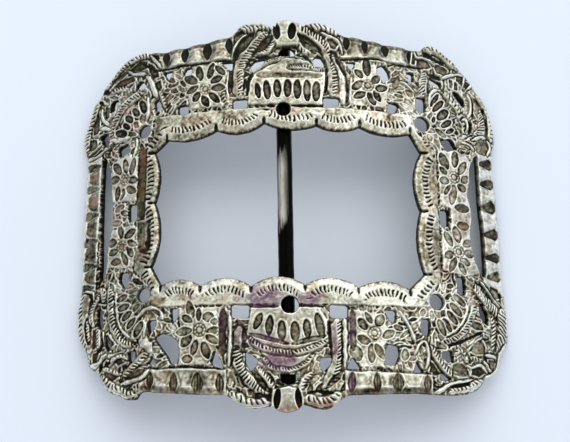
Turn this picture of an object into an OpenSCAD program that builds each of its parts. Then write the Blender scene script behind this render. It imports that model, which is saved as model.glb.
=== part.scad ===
// A large arched buckle: one pierced and chased silver casting, with a round steel bar across its opening.
// Flat patterns are drawn looking straight down, X to the right and Y to the top of the buckle, in mm from
// the spot where the bar crosses the opening. The buckle stands on its two curved ends at Z = 0.

/* [Casting] */
// Outer radius of the arch, at the ground between the ornament
arch_r = 60; // [56:1:75]
// Thickness of the casting under its ground
wall = 0.9; // [0.8:0.1:1.2]
// How far out from its middle the casting's underside meets the surface that it stands on
foot_x = 40.5; // [40:0.1:41]

/* [Relief] */
// Height of the chased panels and the inner rim over the ground
panel_rise = 0.45; // [0.3:0.05:0.6]
// Height of the rails, ribbons and corner scrolls over the ground
rail_rise = 0.9; // [0.7:0.05:1.1]
// Height of the two crest knobs over the ground
knob_rise = 1.2; // [1.1:0.05:1.5]
// How far petals, ovals and rail notches stop above the ground
cut_floor = 0.1; // [0.05:0.05:0.2]

/* [Bar] */
// Diameter of the bar
bar_d = 2.6; // [2:0.1:2.8]
// Slack between the bar and the bores of its lugs, on the radius
bar_slack = 0.15; // [0.1:0.05:0.2]
// Turn of the bar in plan, which is set a little askew
bar_skew = 1; // [0:0.25:1.5]

/* [Hidden] */
$fn = 64;

// How far the bar's crossing lies from the middle of the outline
crossing = [-0.35, 0.45];

// Height of the arch's crown above the surface that the buckle stands on
crown = arch_r - sqrt(pow(arch_r - wall, 2) - pow(foot_x, 2));

// Reach, either way from the surface, of everything that cuts right through
through = 8;

// Bar: it runs just under the arch, and each end stops a little short of the bottom of a blind bore
bar_gap = 0.25;
bar_z = -wall - bar_gap - bar_d / 2;
bar_x = -0.35;
bar_ends = [-34.4, 33.6];
end_gap = 0.2;

// Lugs behind the crests: y of their outer faces, how much of the bar they hold, the metal round the bar
lug_faces = [-35.7, 34.9];
lug_hold = 1.9;
lug_cover = 0.9;
lug_w = bar_d + 2 * lug_cover + 0.4;
lug_bevel = 1.2;

// Outer edge, clockwise from the left end of the top rail: columns x, y
outline = [
    // top rail, left half
    [-24.5, 31.8], [-20, 31.9], [-16, 32.2], [-11.5, 32.9],
    // top crest
    [-10, 33.4], [-9, 34.4], [-7.6, 35.1], [-5.6, 35.1], [-3.4, 34.6], [-2.6, 34.5], [-1.6, 35.2],
    [0, 35.4], [1.6, 35], [2.6, 34.5], [4, 34.9], [5.8, 35.1], [7.4, 34.7], [9, 33.8],
    // top rail, right half
    [10.5, 33], [14, 32.6], [18, 32.1], [23, 31.8], [25.8, 31.9],
    // top right corner
    [26.6, 33], [28, 33.3], [29.4, 32.8], [31, 31.9], [32.6, 31.1], [34, 29.8], [35.4, 28.8], [36.8, 27.3],
    [38, 25.7], [39.4, 24.2], [40.1, 22.3], [40.8, 20.5], [41.3, 18.5], [41.3, 16.6], [40.6, 15],
    // right rail
    [40.4, 12.5], [40.7, 6], [41, -2], [41.2, -12],
    // bottom right corner
    [41.5, -15], [41.8, -19], [41.8, -22.4], [41.2, -23.9], [39.6, -26], [38.8, -28.2], [37.4, -29.5],
    [36, -30.3], [35, -31.6], [33.4, -32.6], [31, -33.1], [27.5, -33.2],
    // bottom rail, right half
    [23, -33], [16, -33.2], [11, -33.4],
    // bottom crest
    [9.8, -33.8], [8.2, -35], [6.8, -35.8], [5, -35.6], [2.8, -35], [2, -35.8], [0.2, -36.3], [-1.6, -36],
    [-2.6, -35.3], [-4.4, -35.5], [-6.2, -35.6], [-8, -34.9], [-9.6, -33.9],
    // bottom rail, left half
    [-10.8, -33.4], [-16, -33.2], [-22, -32.9], [-26, -32.7],
    // bottom left corner
    [-27.1, -33.9], [-28.6, -34], [-30.4, -33.2], [-32, -32.8], [-33.6, -31.4], [-34.6, -29.6],
    [-36.6, -28.2], [-37.3, -27.2], [-37.8, -25.3], [-39.3, -23.2], [-40, -21], [-40.1, -19],
    [-40.4, -17.5], [-40, -15.5],
    // left rail
    [-39.9, -12], [-40.1, 0], [-40.1, 12],
    // top left corner
    [-40.6, 15], [-41.1, 16.6], [-41, 18.8], [-39.9, 21.3], [-39.2, 24], [-38, 25.3], [-37, 26.9],
    [-35.4, 28.3], [-34.2, 29.6], [-32.6, 31.1], [-30.6, 32], [-28.4, 32.3], [-26.6, 32.2]
];

// Inner edge, clockwise from its top left corner: columns x and y of a nick in the rim, and how far the
// lobe that follows the nick swells into the opening
nicks = [
    [-22.6, 13.8, 1.05], [-13.1, 14.6, 1.35], [-4.2, 15.5, 1.1], [5.4, 15, 1], [13.4, 15.1, 1.05],
    [23, 14.7, 0],
    [25.2, 11.3, 1.4], [24.8, 0, 1.05], [25.1, -11.8, 0],
    [22, -14.9, 1.35], [12.6, -14.9, 1.5], [3.2, -14.6, 1.6], [-6.3, -14.7, 1.4], [-15.4, -14.4, 1.2],
    [-22.9, -14, 0],
    [-25.1, -10.3, 1.4], [-24.9, 1.8, 1.05], [-25.2, 11.6, 0]
];
lobe_steps = 8;

// Windows pierced through the casting, each a list of corners in plan
windows = [
    // along the top, from left to right
    [[-35.1, 23.3], [-34.6, 24.3], [-33.2, 23.8], [-33.6, 22.9], [-34.8, 21.7]],
    [[-29.6, 26], [-28.9, 26.7], [-28.1, 26.8], [-27.3, 25.5], [-27.5, 25], [-29.5, 25.1]],
    [[-25.6, 21.9], [-24.9, 22.3], [-24.2, 21.5], [-23.8, 20.2], [-25.3, 20]],
    [[-23.9, 27.6], [-21.6, 27.6], [-22.8, 25.5]],
    [[-20.8, 20.2], [-18.6, 20.2], [-18.5, 18.1], [-20.6, 18.3]],
    [[-19.8, 26.9], [-19.3, 27.7], [-18.1, 27.7], [-18.1, 26], [-19.7, 26]],
    [[-12.5, 27.9], [-10.2, 27.9], [-10.3, 26]],
    [[-10.2, 20.4], [-7.4, 20.4], [-7.3, 18.5], [-10.1, 18.3]],
    [[-7.1, 26.7], [-6.1, 27.8], [-4.2, 28.1], [-4.2, 27.3], [-6.2, 25.6]],
    [[4.8, 28], [5.3, 28.5], [6.3, 28.4], [6.9, 27.5], [7, 26.3], [4.9, 26.6]],
    [[6.7, 20.6], [9.7, 20.5], [9.6, 18.6], [6.7, 18.2]],
    [[10.8, 27.8], [12.9, 27.8], [11.9, 25.9]],
    [[16.8, 27.2], [18.2, 27.9], [19.1, 26.8], [19.5, 25.4], [18.1, 24.1], [17.2, 25.7]],
    [[19.2, 20.6], [21.1, 20.2], [20.2, 18.1], [18.4, 18.3]],
    [[22.4, 27.1], [24.1, 27], [24, 25.1], [23.2, 25]],
    [[24.3, 22.4], [26.4, 22.3], [26.3, 19.3], [24.3, 19.4]],
    [[27.2, 27], [29.8, 26.1], [29.8, 25.3], [27.3, 25.3]],
    [[32, 25.1], [33, 24.8], [34.9, 22.8], [34.3, 22.1], [33, 23.2]],
    // down the right side
    [[35.3, 19.9], [36.1, 19.4], [36.1, 17.7], [35.3, 16.7]],
    [[29.1, 14.4], [31.3, 15.2], [32.7, 13.2], [30.1, 12.2]],
    [[28.2, 0.6], [30.2, 0.8], [30.2, -2.3], [28.3, -2.7]],
    [[31, -11.8], [33, -11.5], [33, -15.1], [31.3, -14.9]],
    [[35.6, -16.2], [36.6, -16.3], [37.7, -18.4], [37.4, -20.4], [36.6, -20], [35.6, -18.3]],
    // along the bottom, from right to left
    [[27.4, -25.7], [29.7, -25.2], [29.9, -27.3], [28.7, -27.3], [27.5, -26.6]],
    [[27, -29.2], [28.2, -29.5], [29.4, -30.5], [27.2, -30.7]],
    [[23.7, -19.9], [25.8, -19.9], [25.4, -23], [23.8, -22.7]],
    [[22.8, -27.4], [24.1, -29.4], [22, -29.4]],
    [[17.7, -24.5], [19.6, -24.9], [19.8, -26.5], [19, -28.2], [17, -28.2], [17, -26]],
    [[17, -18.6], [19.4, -18.7], [19.2, -20.5], [18.6, -21], [17.7, -20.1]],
    [[10.2, -29], [11.3, -26.9], [12.9, -29]],
    [[7.4, -17.9], [10.7, -18], [10.6, -20.3], [7.4, -20.3]],
    [[5.7, -27.1], [7.9, -27], [7.5, -28.4], [6.2, -29.5], [5.6, -28.6]],
    [[-7.3, -26.1], [-6, -26.6], [-4.9, -27.6], [-5.3, -28.7], [-6.2, -29.5], [-7.1, -28.3]],
    [[-9.9, -17.8], [-6.5, -18], [-6.7, -20.4], [-9.8, -20.2]],
    [[-12.5, -25.5], [-10.7, -29], [-13.3, -28.3]],
    [[-24, -23.2], [-22.6, -22.5], [-20.4, -23.1], [-19.2, -24.2], [-18.9, -26.6], [-19.4, -28],
     [-20.6, -28], [-21.5, -26.3], [-22.7, -24.9]],
    [[-20.9, -18.1], [-19.2, -18.3], [-19.4, -19.8], [-20.3, -21.1], [-20.7, -20]],
    [[-25.2, -20.1], [-23.3, -20], [-23.8, -21.8], [-24.8, -22.8]],
    [[-24, -26.2], [-23.1, -28], [-25, -27.9]],
    [[-28.9, -25.4], [-27.3, -25.4], [-27.3, -26.8], [-27.9, -27.8], [-28.6, -27.2]],
    [[-34, -21.8], [-32.3, -25], [-33, -25.3], [-33.9, -23.8]],
    // up the left side
    [[-36, -17.4], [-35.2, -17], [-34.6, -17.6], [-34.4, -20.8], [-35.2, -21.2], [-35.9, -19.8]],
    [[-31.3, -10.8], [-29.4, -10.8], [-29.4, -14.1], [-30.6, -13.8], [-31.5, -12.2]],
    [[-30.2, 2.1], [-28.2, 2.1], [-28.1, -1.3], [-30, -1.3]],
    [[-33, 13.8], [-30.8, 14.7], [-30, 12.6], [-32.6, 11.8]],
    [[-37.2, 17.2], [-36.4, 17.9], [-35.2, 17.5], [-35, 14.3], [-36, 14.9], [-36.8, 15.8]]
];

// Round eyes: columns x, y, radius
eyes = [
    [-27.3, 16.2, 1.35], [25.5, 17, 1.5], [27, -16.7, 1.5], [-26.2, -15.4, 1.35],
    [-0.7, 18, 1.35], [0.5, -18, 1.55], [-24.7, 19.3, 0.45]
];

// Half-round windows at the foot of the crests: columns x, y, radius, turn
half_moons = [
    [-0.1, 28.6, 1.6, 0], [0.3, -29.9, 1.7, 180]
];

// Long slots between the side rails and the panels, each a list of corners in plan
slots = [
    [[-36.2, 12.6], [-35, 11.2], [-34.4, 9.4], [-33.9, 6.4], [-33.6, 3], [-33.3, 0], [-33.5, -3],
     [-34.3, -6.5], [-34.2, -9.8], [-35.3, -12.4], [-35.9, -13.4], [-35.7, -9], [-36.1, -2], [-36.3, 5]],
    [[36.2, 12.2], [35, 9.6], [34.8, 7], [34.2, 4.5], [34.8, 2], [34.9, -1], [34.4, -3.2], [34.9, -7],
     [35.6, -9.2], [37.3, -11.3], [37.6, -7], [37.5, -2], [37.1, 3], [37, 12]]
];

// Flowers: columns x, y, half width, half height, petals, turn of the first petal. A petal's cut lies at a
// share of the way out from the flower's middle, and its length is a share of the half height
flowers = [
    [-15.2, 23, 3.7, 3.9, 8, 100], [15.1, 23.2, 3.5, 3.9, 8, 92],
    [-15.4, -22.3, 3.6, 4, 8, 80], [15.2, -23.2, 3.5, 4, 8, 85],
    [-30.9, 7.2, 2.9, 3.9, 8, 95], [31.6, 7.3, 3, 4, 8, 85],
    [-31, -5.8, 2.9, 3.8, 8, 95], [31.6, -6.9, 2.9, 3.9, 8, 98]
];
petal_out = 0.64;
petal_length = 0.6;
petal_w = 1.1;

// Corner fans: columns x, y of the eye that they spread from, then first and last turn of the ovals, which
// lie on a circle round the eye, inside the edge of the fan's raised panel
fans = [
    [-27.3, 16.2, 94, 172], [25.5, 17, 66, 0], [27, -16.7, -80, 4], [-26.2, -15.4, 184, 262]
];
fan_ovals = 5;
fan_oval = [2.6, 1.1];
fan_out = 4.7;
fan_r = 7.4;
fan_margin = 0.1;

// Ovals of the two cartouches: columns x, y, length, width, turn
cartouche_ovals = [
    [-5.4, 21.7, 3, 1, 98], [-3.7, 21.8, 3.6, 1.3, 96], [-1.8, 22, 3.4, 1.4, 92], [0.1, 22, 3.4, 1.4, 90],
    [1.9, 21.8, 3.6, 1.4, 90], [3.7, 21.6, 4, 1.4, 92], [5.4, 21.4, 3.6, 1.4, 88],
    [-5, -20.9, 2.8, 1.1, 66], [-3, -21.8, 3.3, 1.2, 84], [-0.9, -22.6, 3.3, 1.4, 90],
    [1.4, -22.7, 3.4, 1.5, 92], [3.5, -22.2, 3.1, 1.2, 97], [5.7, -21.7, 4.2, 1.4, 104]
];

// Long dark grooves under the cartouches' caps: columns x, y, length, width, turn
grooves = [
    [0.5, 24.7, 12.4, 1, 0], [-2.6, -23.9, 7, 1, -17], [3.4, -24.2, 7, 1, 10],
    [-8.3, 30.4, 6, 1.4, 56], [-4.5, 30.6, 4.6, 1.2, 52], [4.2, 30.8, 5.2, 1.3, -40],
    [8.9, 29.3, 5.4, 1, -66],
    [-6, -31, 5, 1.1, -50], [6.4, -31, 5, 1.1, 48]
];

// Notches cut across the rails: columns x, y, length, width, turn
rail_notches = [
    // top
    [-23.3, 30.4, 3, 1.5, 95], [-19.5, 30.4, 3, 1.4, 88], [-15.1, 30.5, 3.3, 1.7, 92],
    [-10.9, 31.2, 3.2, 1.3, 95], [11.2, 31.4, 2.9, 1.2, 90], [14.6, 31.1, 2.8, 1.2, 92],
    [18.5, 30.8, 2.6, 1.4, 95], [23.4, 30.4, 2.8, 1.3, 90],
    // bottom
    [-19.8, -31.3, 3.4, 1.3, 90], [-15.5, -31.5, 3.4, 1.8, 92], [-11.6, -31.6, 3.2, 1.3, 94],
    [11.1, -31.2, 3.4, 1.3, 85], [15.6, -31.3, 3.6, 1.1, 90], [19.2, -31.2, 3.2, 1.8, 88],
    [24.5, -31.3, 3, 1.3, 90],
    // left
    [-38.3, 11.2, 3.6, 1.7, 0], [-38.3, 6.6, 3.6, 1.5, -4], [-38.3, 1.4, 3.6, 1.8, 0],
    [-38.3, -3.7, 3.8, 1.7, 2], [-38.1, -8.8, 3.8, 1.6, 0],
    // right
    [38.8, 12, 3.4, 1.7, 8], [38.9, 7.8, 3.4, 1.7, 8], [39, 3, 3.6, 1.8, 10], [39.3, -2.4, 3.4, 1.7, 8],
    [39.4, -7, 3.4, 1.5, 6], [39.5, -10.9, 3.4, 1.7, 8]
];

// Pairs of cuts in the crest knobs: columns x, y, length, width, turn
knob_notches = [
    [-2, 33.2, 3.2, 1, 96], [1, 33.3, 3, 1.1, 86], [-1.6, -34, 3.2, 1.1, 84], [2, -33.9, 3, 1, 96]
];

// Raised strokes of the ribbons and scrolls: a width, then the stroke's own points in plan
strokes = [
    // ribbons that hang from the crests beside the cartouches
    [1.9, [[-5, 33.4], [-7, 31.4], [-8.4, 28.4], [-8.9, 25], [-8.7, 21]]],
    [1.9, [[4.4, 33.2], [6.8, 31], [8, 28], [8.7, 25], [8.6, 21.2]]],
    [1.7, [[-8.1, -21.6], [-8.6, -26], [-7.8, -29], [-5.6, -32], [-3.6, -33.4]]],
    [1.9, [[9, -21], [9, -25.6], [8.5, -28.8], [6.6, -31.6], [4, -33.6]]],
    // arms that close the caps of the cartouches
    [1.1, [[-1.9, 32.2], [-3.8, 29.2], [-5.6, 28.6]]],
    [1.1, [[1.6, 32], [3.4, 29.7], [5.2, 29.2]]],
    [1.1, [[-1.8, -33.2], [-3.4, -30.9], [-4.7, -29.8]]],
    [1.1, [[2.1, -33.4], [3.7, -31], [5.1, -30]]],
    // feathered edges of the corners
    [1.7, [[-39.8, 14.6], [-40, 17.8], [-38.6, 21.6], [-37.6, 24], [-35, 27], [-32.4, 29.8],
           [-29.4, 31.1], [-27, 31.2]]],
    [1.7, [[27.2, 32], [30, 31.2], [33, 29], [35.8, 26.8], [38.6, 23.4], [39.8, 20.4], [40.2, 17]]],
    [1.7, [[40.6, -14], [40.7, -18], [40.6, -21.8], [39, -24.4]]],
    [1.5, [[36.4, -29], [34, -31.2], [31, -32], [28, -32.2]]],
    [1.6, [[-39.3, -15.6], [-39.3, -19.4], [-38.6, -22.4], [-37, -24.6]]],
    [1.6, [[-34.2, -28.6], [-32.4, -31.4], [-29.6, -32.4], [-27.6, -32.8]]],
    // scrolls that curl inside the corners
    [1.2, [[-37.8, 14.4], [-38, 19], [-36.6, 21.6], [-36.2, 24.6], [-33.8, 26.2], [-30.8, 25.4]]],
    [1.2, [[-34.6, 15.4], [-34, 19.4], [-31.8, 22.6], [-28.6, 23.6], [-26.6, 26.2]]],
    [1.2, [[33.6, 27.2], [35.4, 25.6], [36.4, 22.6], [36.2, 20.2], [37.4, 18.4]]],
    [1.2, [[27.4, 24.2], [30.4, 24.3], [32.4, 21.8], [34.2, 19], [34, 16]]],
    [1.2, [[37.2, -14.4], [38.6, -17.6], [38.4, -20.8], [36.8, -23.6], [33.6, -25.8]]],
    [1.2, [[34.6, -16.6], [33.2, -20], [30.8, -22.4], [27.8, -23.6]]],
    [1.2, [[-37.2, -15.4], [-37.6, -19], [-36, -22.4], [-35.2, -25.4]]],
    [1.2, [[-33.2, -16.6], [-32.8, -20.4], [-31, -23.4], [-28, -24.4], [-25.4, -25.6], [-28, -28.6],
           [-31, -30]]]
];
stroke_end = 0.6;

// Rails along the four edges, each a list of corners that runs out past the casting's edge
rails = [
    [[-26.2, 28.35], [-10.1, 28.2], [-10.1, 36], [-26.2, 36]],
    [[9.9, 28.2], [26.1, 28.35], [26.1, 36], [9.9, 36]],
    [[-26.3, -28.6], [-10.4, -29.2], [-10.4, -37], [-26.3, -37]],
    [[9.9, -29.3], [25.6, -29.6], [25.6, -37], [9.9, -37]],
    [[-35.5, -14.4], [-35.5, 13.4], [-43, 13.4], [-43, -14.4]],
    [[36.4, -14.4], [36.4, 13.4], [43, 13.4], [43, -14.4]]
];

// Crest knobs, each a list of corners that runs out past the casting's edge
knobs = [
    [[-2.9, 36], [-2.5, 31.1], [-0.2, 30.5], [2.1, 31.1], [2.8, 36]],
    [[-2.9, -37], [-2.5, -32.5], [0.3, -31.9], [2.8, -32.6], [3, -37]]
];

// Outer edge of the raised band round the opening
rim_edge = [
    [-28.2, 11.8], [-25.4, 14.2], [-25, 18.4], [23.4, 18.4], [24.2, 15], [28, 12.2],
    [28, -12.6], [25.6, -15.6], [24, -18], [-24.4, -17.8], [-25.2, -13.4], [-28.2, -10.8]
];

// Raised panels that hold the cartouches' ovals, with their domed caps
cartouches = [
    [[-7.2, 20.7], [-6.9, 23.4], [-6.1, 25], [-3.8, 27.2], [0, 28.4], [4, 27.6], [5, 26.2], [7.2, 25.4],
     [6.9, 22], [6.4, 18.9], [-7.2, 19]],
    [[-6.2, -18.4], [-7, -23.2], [-5, -25.4], [-2.6, -28.6], [0.6, -29.4], [3, -28.4], [5, -26.2],
     [7, -24], [7, -20.6], [5.4, -18.3]]
];

// Turn of the arch's surface at a distance x from its middle
function lean(x) = asin(x / arch_r);

// Middle of a list of points
function middle(points) = [for (axis = [0, 1]) sum([for (p = points) p[axis]]) / len(points)];
function sum(values, i = 0) = i < len(values) ? values[i] + sum(values, i + 1) : 0;

// Unit vector square to the line from a to b
function square_to(a, b) = let (d = b - a) [-d[1], d[0]] / norm(d);

// Direction square to a stroke at its point i
function stroke_side(points, i) =
    i == 0 ? square_to(points[0], points[1]) :
    i == len(points) - 1 ? square_to(points[i - 1], points[i]) :
    let (s = square_to(points[i - 1], points[i]) + square_to(points[i], points[i + 1])) s / norm(s);

// Outline of a stroke of even width, narrowed at its two ends
function stroke_outline(points, width) =
    let (
        last = len(points) - 1,
        half = [for (i = [0:last]) width / 2 * (i == 0 || i == last ? stroke_end : 1)]
    )
    concat(
        [for (i = [0:last]) points[i] + half[i] * stroke_side(points, i)],
        [for (i = [last:-1:0]) points[i] - half[i] * stroke_side(points, i)]
    );

// Moves plan coordinates so that the outline's middle lies on the arch's middle
module place() translate([crossing[0], crossing[1], 0]) children();

// Everything between two radii of the arch, under the plan shape that it is given
module arched(inner, outer) intersection() {
    translate([0, 0, -arch_r]) rotate([90, 0, 0]) linear_extrude(90, center = true) difference() {
        circle(outer, $fn = 720);
        circle(inner, $fn = 720);
    }
    translate([0, 0, -crown - 4]) linear_extrude(crown + 4 + 4) place() children();
}

// Stands a shape on the arch at a place in plan, square to the surface
module on_arch(x, y) translate([0, 0, -arch_r]) rotate([0, lean(x + crossing[0]), 0])
    translate([0, y + crossing[1], arch_r]) children();

// A hole with these corners in plan, cut square to the surface and so drawn wider by the surface's slope
module pierce(corners) {
    spot = middle(corners);
    widen = 1 / cos(lean(spot[0]));
    on_arch(spot[0], spot[1]) linear_extrude(2 * through, center = true)
        polygon([for (p = corners) [(p[0] - spot[0]) * widen, p[1] - spot[1]]]);
}

// A pointed oval pocket, cut down to the floor of the relief
module pocket(x, y, length, width, turn) {
    r = (length * length + width * width) / (4 * width);
    on_arch(x, y) rotate(turn) translate([0, 0, cut_floor]) linear_extrude(through) intersection() {
        translate([0, r - width / 2]) circle(r, $fn = 96);
        translate([0, width / 2 - r]) circle(r, $fn = 96);
    }
}

// Points along the arc of one lobe, from a nick up to the next
function lobe(a, b, swell) =
    let (
        half = norm(b - a) / 2,
        r = (half * half + swell * swell) / (2 * swell),
        centre = (a + b) / 2 + square_to(a, b) * (r - swell),
        reach = asin(half / r),
        crest = (a + b) / 2 - centre,
        mid = atan2(crest[1], crest[0])
    )
    [for (i = [0:lobe_steps - 1])
        let (turn = mid - reach * (1 - 2 * i / lobe_steps)) centre + r * [cos(turn), sin(turn)]];

// The opening, whose edge is nicked between the lobes of the rim
module opening() polygon([
    for (i = [0:len(nicks) - 1])
        let (a = nicks[i], b = nicks[(i + 1) % len(nicks)])
        each a[2] > 0 ? lobe([a[0], a[1]], [b[0], b[1]], a[2]) : [[a[0], a[1]]]
]);

module plate_plan() difference() {
    polygon(outline);
    opening();
}

// One flower's raised disc, taller than it is wide
module flower_plan(f) for (end = [-1, 1]) translate([f[0], f[1] + end * (f[3] - f[2])]) circle(f[2]);

// One fan's raised sector, a little wider than its ovals
module fan_plan(f) intersection() {
    translate([f[0], f[1]]) circle(fan_r);
    polygon([
        [f[0], f[1]],
        for (i = [0:4])
            let (turn = f[2] + (f[3] - f[2]) * (i / 4 * (1 + 3 * fan_margin) - fan_margin))
            [f[0], f[1]] + fan_r * 1.4 * [cos(turn), sin(turn)]
    ]);
}

module panel_plan() {
    difference() {
        polygon(rim_edge);
        opening();
    }
    for (f = flowers) flower_plan(f);
    for (f = fans) fan_plan(f);
    for (c = cartouches) polygon(c);
}

module rail_plan() intersection() {
    polygon(outline);
    union() for (r = rails) polygon(r);
}

module knob_plan() intersection() {
    polygon(outline);
    union() for (k = knobs) polygon(k);
}

module ribbons_plan() intersection() {
    polygon(outline);
    union() for (s = strokes) polygon(stroke_outline(s[1], s[0]));
}

// How far the bar has strayed in X at a place along it
function stray(y) = bar_x - y * tan(bar_skew);

// One lug, bevelled along its two lower corners, from one y to another
module lug(middle_x, from, to) place() translate([middle_x, to, bar_z]) rotate([90, 0, 0])
    linear_extrude(to - from) polygon([
        [-lug_w / 2, -bar_z], [lug_w / 2, -bar_z],
        [lug_w / 2, lug_bevel - bar_d / 2 - lug_cover], [lug_w / 2 - lug_bevel, -bar_d / 2 - lug_cover],
        [lug_bevel - lug_w / 2, -bar_d / 2 - lug_cover], [-lug_w / 2, lug_bevel - bar_d / 2 - lug_cover]
    ]);

// Lugs behind the crests, which hold the bar's ends
module lugs() intersection() {
    union() {
        lug(stray(bar_ends[0]), lug_faces[0], bar_ends[0] + lug_hold);
        lug(stray(bar_ends[1]), bar_ends[1] - lug_hold, lug_faces[1]);
    }
    translate([0, 0, -arch_r]) rotate([90, 0, 0])
        cylinder(r = arch_r - wall / 2, h = 100, center = true, $fn = 720);
}

// A rod along the bar's line, from one end to the other
module bar_rod(d, from, to) place() translate([bar_x, 0, bar_z]) rotate(bar_skew)
    translate([0, to, 0]) rotate([90, 0, 0]) cylinder(d = d, h = to - from);

// The bare casting: ground, raised panels, rails, ribbons, knobs and lugs
module casting() {
    arched(arch_r - wall, arch_r) plate_plan();
    arched(arch_r - wall / 2, arch_r + panel_rise) panel_plan();
    arched(arch_r - wall / 2, arch_r + rail_rise) rail_plan();
    arched(arch_r - wall / 2, arch_r + rail_rise) ribbons_plan();
    arched(arch_r - wall / 2, arch_r + knob_rise) knob_plan();
    lugs();
}

// The casting with its windows, slots and eyes pierced through
module pierced() difference() {
    union() casting();
    for (w = windows) pierce(w);
    for (s = slots) pierce(s);
    for (e = eyes) on_arch(e[0], e[1]) cylinder(r = e[2], h = 2 * through, center = true);
    for (m = half_moons) on_arch(m[0], m[1]) rotate(m[3]) intersection() {
        cylinder(r = m[2], h = 2 * through, center = true);
        translate([-m[2], 0, -through]) cube([2 * m[2], m[2], 2 * through]);
    }
}

// The pierced casting with its petals, ovals, grooves and notches cut
module chased() difference() {
    pierced();
    for (f = flowers) for (i = [0:f[4] - 1]) {
        turn = f[5] + 360 * i / f[4];
        pocket(f[0] + petal_out * f[2] * cos(turn), f[1] + petal_out * f[3] * sin(turn),
               petal_length * f[3], petal_w, turn);
    }
    for (f = fans) for (i = [0:fan_ovals - 1]) {
        turn = f[2] + (f[3] - f[2]) * i / (fan_ovals - 1);
        pocket(f[0] + fan_out * cos(turn), f[1] + fan_out * sin(turn), fan_oval[0], fan_oval[1], turn);
    }
    for (o = concat(cartouche_ovals, grooves, rail_notches, knob_notches))
        pocket(o[0], o[1], o[2], o[3], o[4]);
}

module frame() color("silver") translate([0, 0, crown]) difference() {
    chased();
    bar_rod(bar_d + 2 * bar_slack, bar_ends[0] - end_gap, bar_ends[1] + end_gap);
    translate([0, 0, -crown - through / 2]) cube([100, 100, through], center = true);
}

module centre_bar() color("dimgray") translate([0, 0, crown]) bar_rod(bar_d, bar_ends[0], bar_ends[1]);

frame();
centre_bar();
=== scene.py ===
"""Dresses a large arched buckle: one pierced and chased silver casting and the dark steel bar across it.

Places on the casting's face are given in plan, looking straight down, in mm from the spot where the bar
crosses the opening: x to the right, y to the upper crest. Heights are in mm over the ground between the
ornament.
"""

from __future__ import annotations

import logging
import math
from collections.abc import Iterable
from dataclasses import dataclass, field
from enum import Enum

import bpy
import numpy as np
from mathutils import Matrix, Vector


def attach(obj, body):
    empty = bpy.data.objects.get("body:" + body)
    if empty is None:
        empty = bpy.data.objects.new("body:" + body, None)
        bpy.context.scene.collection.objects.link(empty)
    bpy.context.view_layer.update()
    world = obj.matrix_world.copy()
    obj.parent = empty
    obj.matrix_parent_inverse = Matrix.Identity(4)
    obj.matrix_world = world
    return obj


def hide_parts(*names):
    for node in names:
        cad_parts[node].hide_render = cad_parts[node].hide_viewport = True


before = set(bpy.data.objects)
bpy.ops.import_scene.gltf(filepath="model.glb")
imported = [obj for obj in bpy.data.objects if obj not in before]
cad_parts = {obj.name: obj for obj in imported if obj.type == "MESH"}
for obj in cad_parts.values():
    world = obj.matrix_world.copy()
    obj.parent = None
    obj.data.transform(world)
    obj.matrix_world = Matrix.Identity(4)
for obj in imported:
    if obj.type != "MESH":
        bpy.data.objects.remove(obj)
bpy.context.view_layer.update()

LOG = logging.getLogger("buckle")
MM = 0.001
Point = tuple[float, float]
Line = tuple[Point, ...]
Colour = tuple[float, float, float]
Stops = tuple[tuple[float, Colour], ...]
Part = tuple[slice, slice]
Array = np.ndarray
Mesh = bpy.types.Mesh
Piece = bpy.types.Object
Material = bpy.types.Material
Holder = Material | bpy.types.World
Socket = bpy.types.NodeSocket
WHOLE: Part = (slice(None), slice(None))


class Cut(Enum):
    """How the outline of a sunk oval runs: the power of its curve, from pointed to round."""

    DIAMOND = 1.35
    PETAL = 1.75
    ROUND = 2.0


class Tarnish(Enum):
    """The tints that the silver has tarnished to in patches."""

    SAGE = (0.2, 0.215, 0.165)
    COPPER = (0.20, 0.085, 0.05)
    VERDIGRIS = (0.065, 0.085, 0.05)
    BROWN = (0.15, 0.10, 0.06)
    OCHRE = (0.17, 0.125, 0.04)
    OLIVE = (0.07, 0.07, 0.035)
    PURPLE = (0.185, 0.095, 0.165)
    PLUM = (0.085, 0.045, 0.06)
    ROSE = (0.50, 0.33, 0.24)


@dataclass(frozen=True)
class Oval:
    """An oval in plan: its middle, length, width and turn in degrees."""

    x: float
    y: float
    length: float
    width: float
    turn: float = 0.0

    def grown(self, longer: float, wider: float) -> Oval:
        """Gives the same oval, longer and wider."""
        return Oval(self.x, self.y, self.length + longer, self.width + wider, self.turn)


@dataclass(frozen=True)
class Band:
    """A raised ribbon, scroll or ridge: width, rise, its line, and the spacing of the ticks cut across it.

    A tick spacing of zero leaves it plain. side moves the ticks to the left of the line, or to the right if
    negative, as a share of the half width, and lean slants them, in mm along per mm across.
    """

    width: float
    rise: float
    line: Line
    tick: float = 0.0
    side: float = 0.4
    lean: float = 0.5


@dataclass(frozen=True)
class Flower:
    """A flower: its middle, and the radius of the plate under its petals and of its boss."""

    x: float
    y: float
    plate: float
    boss: float


@dataclass(frozen=True)
class Hollow:
    """A groove sunk between ornament: width, floor height and its line."""

    width: float
    floor: float
    line: Line


@dataclass(frozen=True)
class Facet:
    """A sunk facet with a raised edge: height of the edge, soot on its floor, and its corners."""

    level: float
    soot: float
    corners: Line


@dataclass(frozen=True)
class Rail:
    """A straight rail: width of the bevel along its outer edge, the bevel's soot, and its corners.

    The corners run out past the outer edge, which trims them.
    """

    bevel: float
    soot: float
    corners: Line


@dataclass(frozen=True)
class Wedge:
    """A wedge notch across a side rail: x of its wide and its narrow end, y, width and turn in degrees."""

    wide_x: float
    narrow_x: float
    y: float
    width: float
    turn: float


@dataclass(frozen=True)
class Stain:
    """A patch of coloured tarnish: middle, half sizes in x and y, colour and strength."""

    x: float
    y: float
    half_x: float
    half_y: float
    tint: Tarnish
    strength: float


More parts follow.
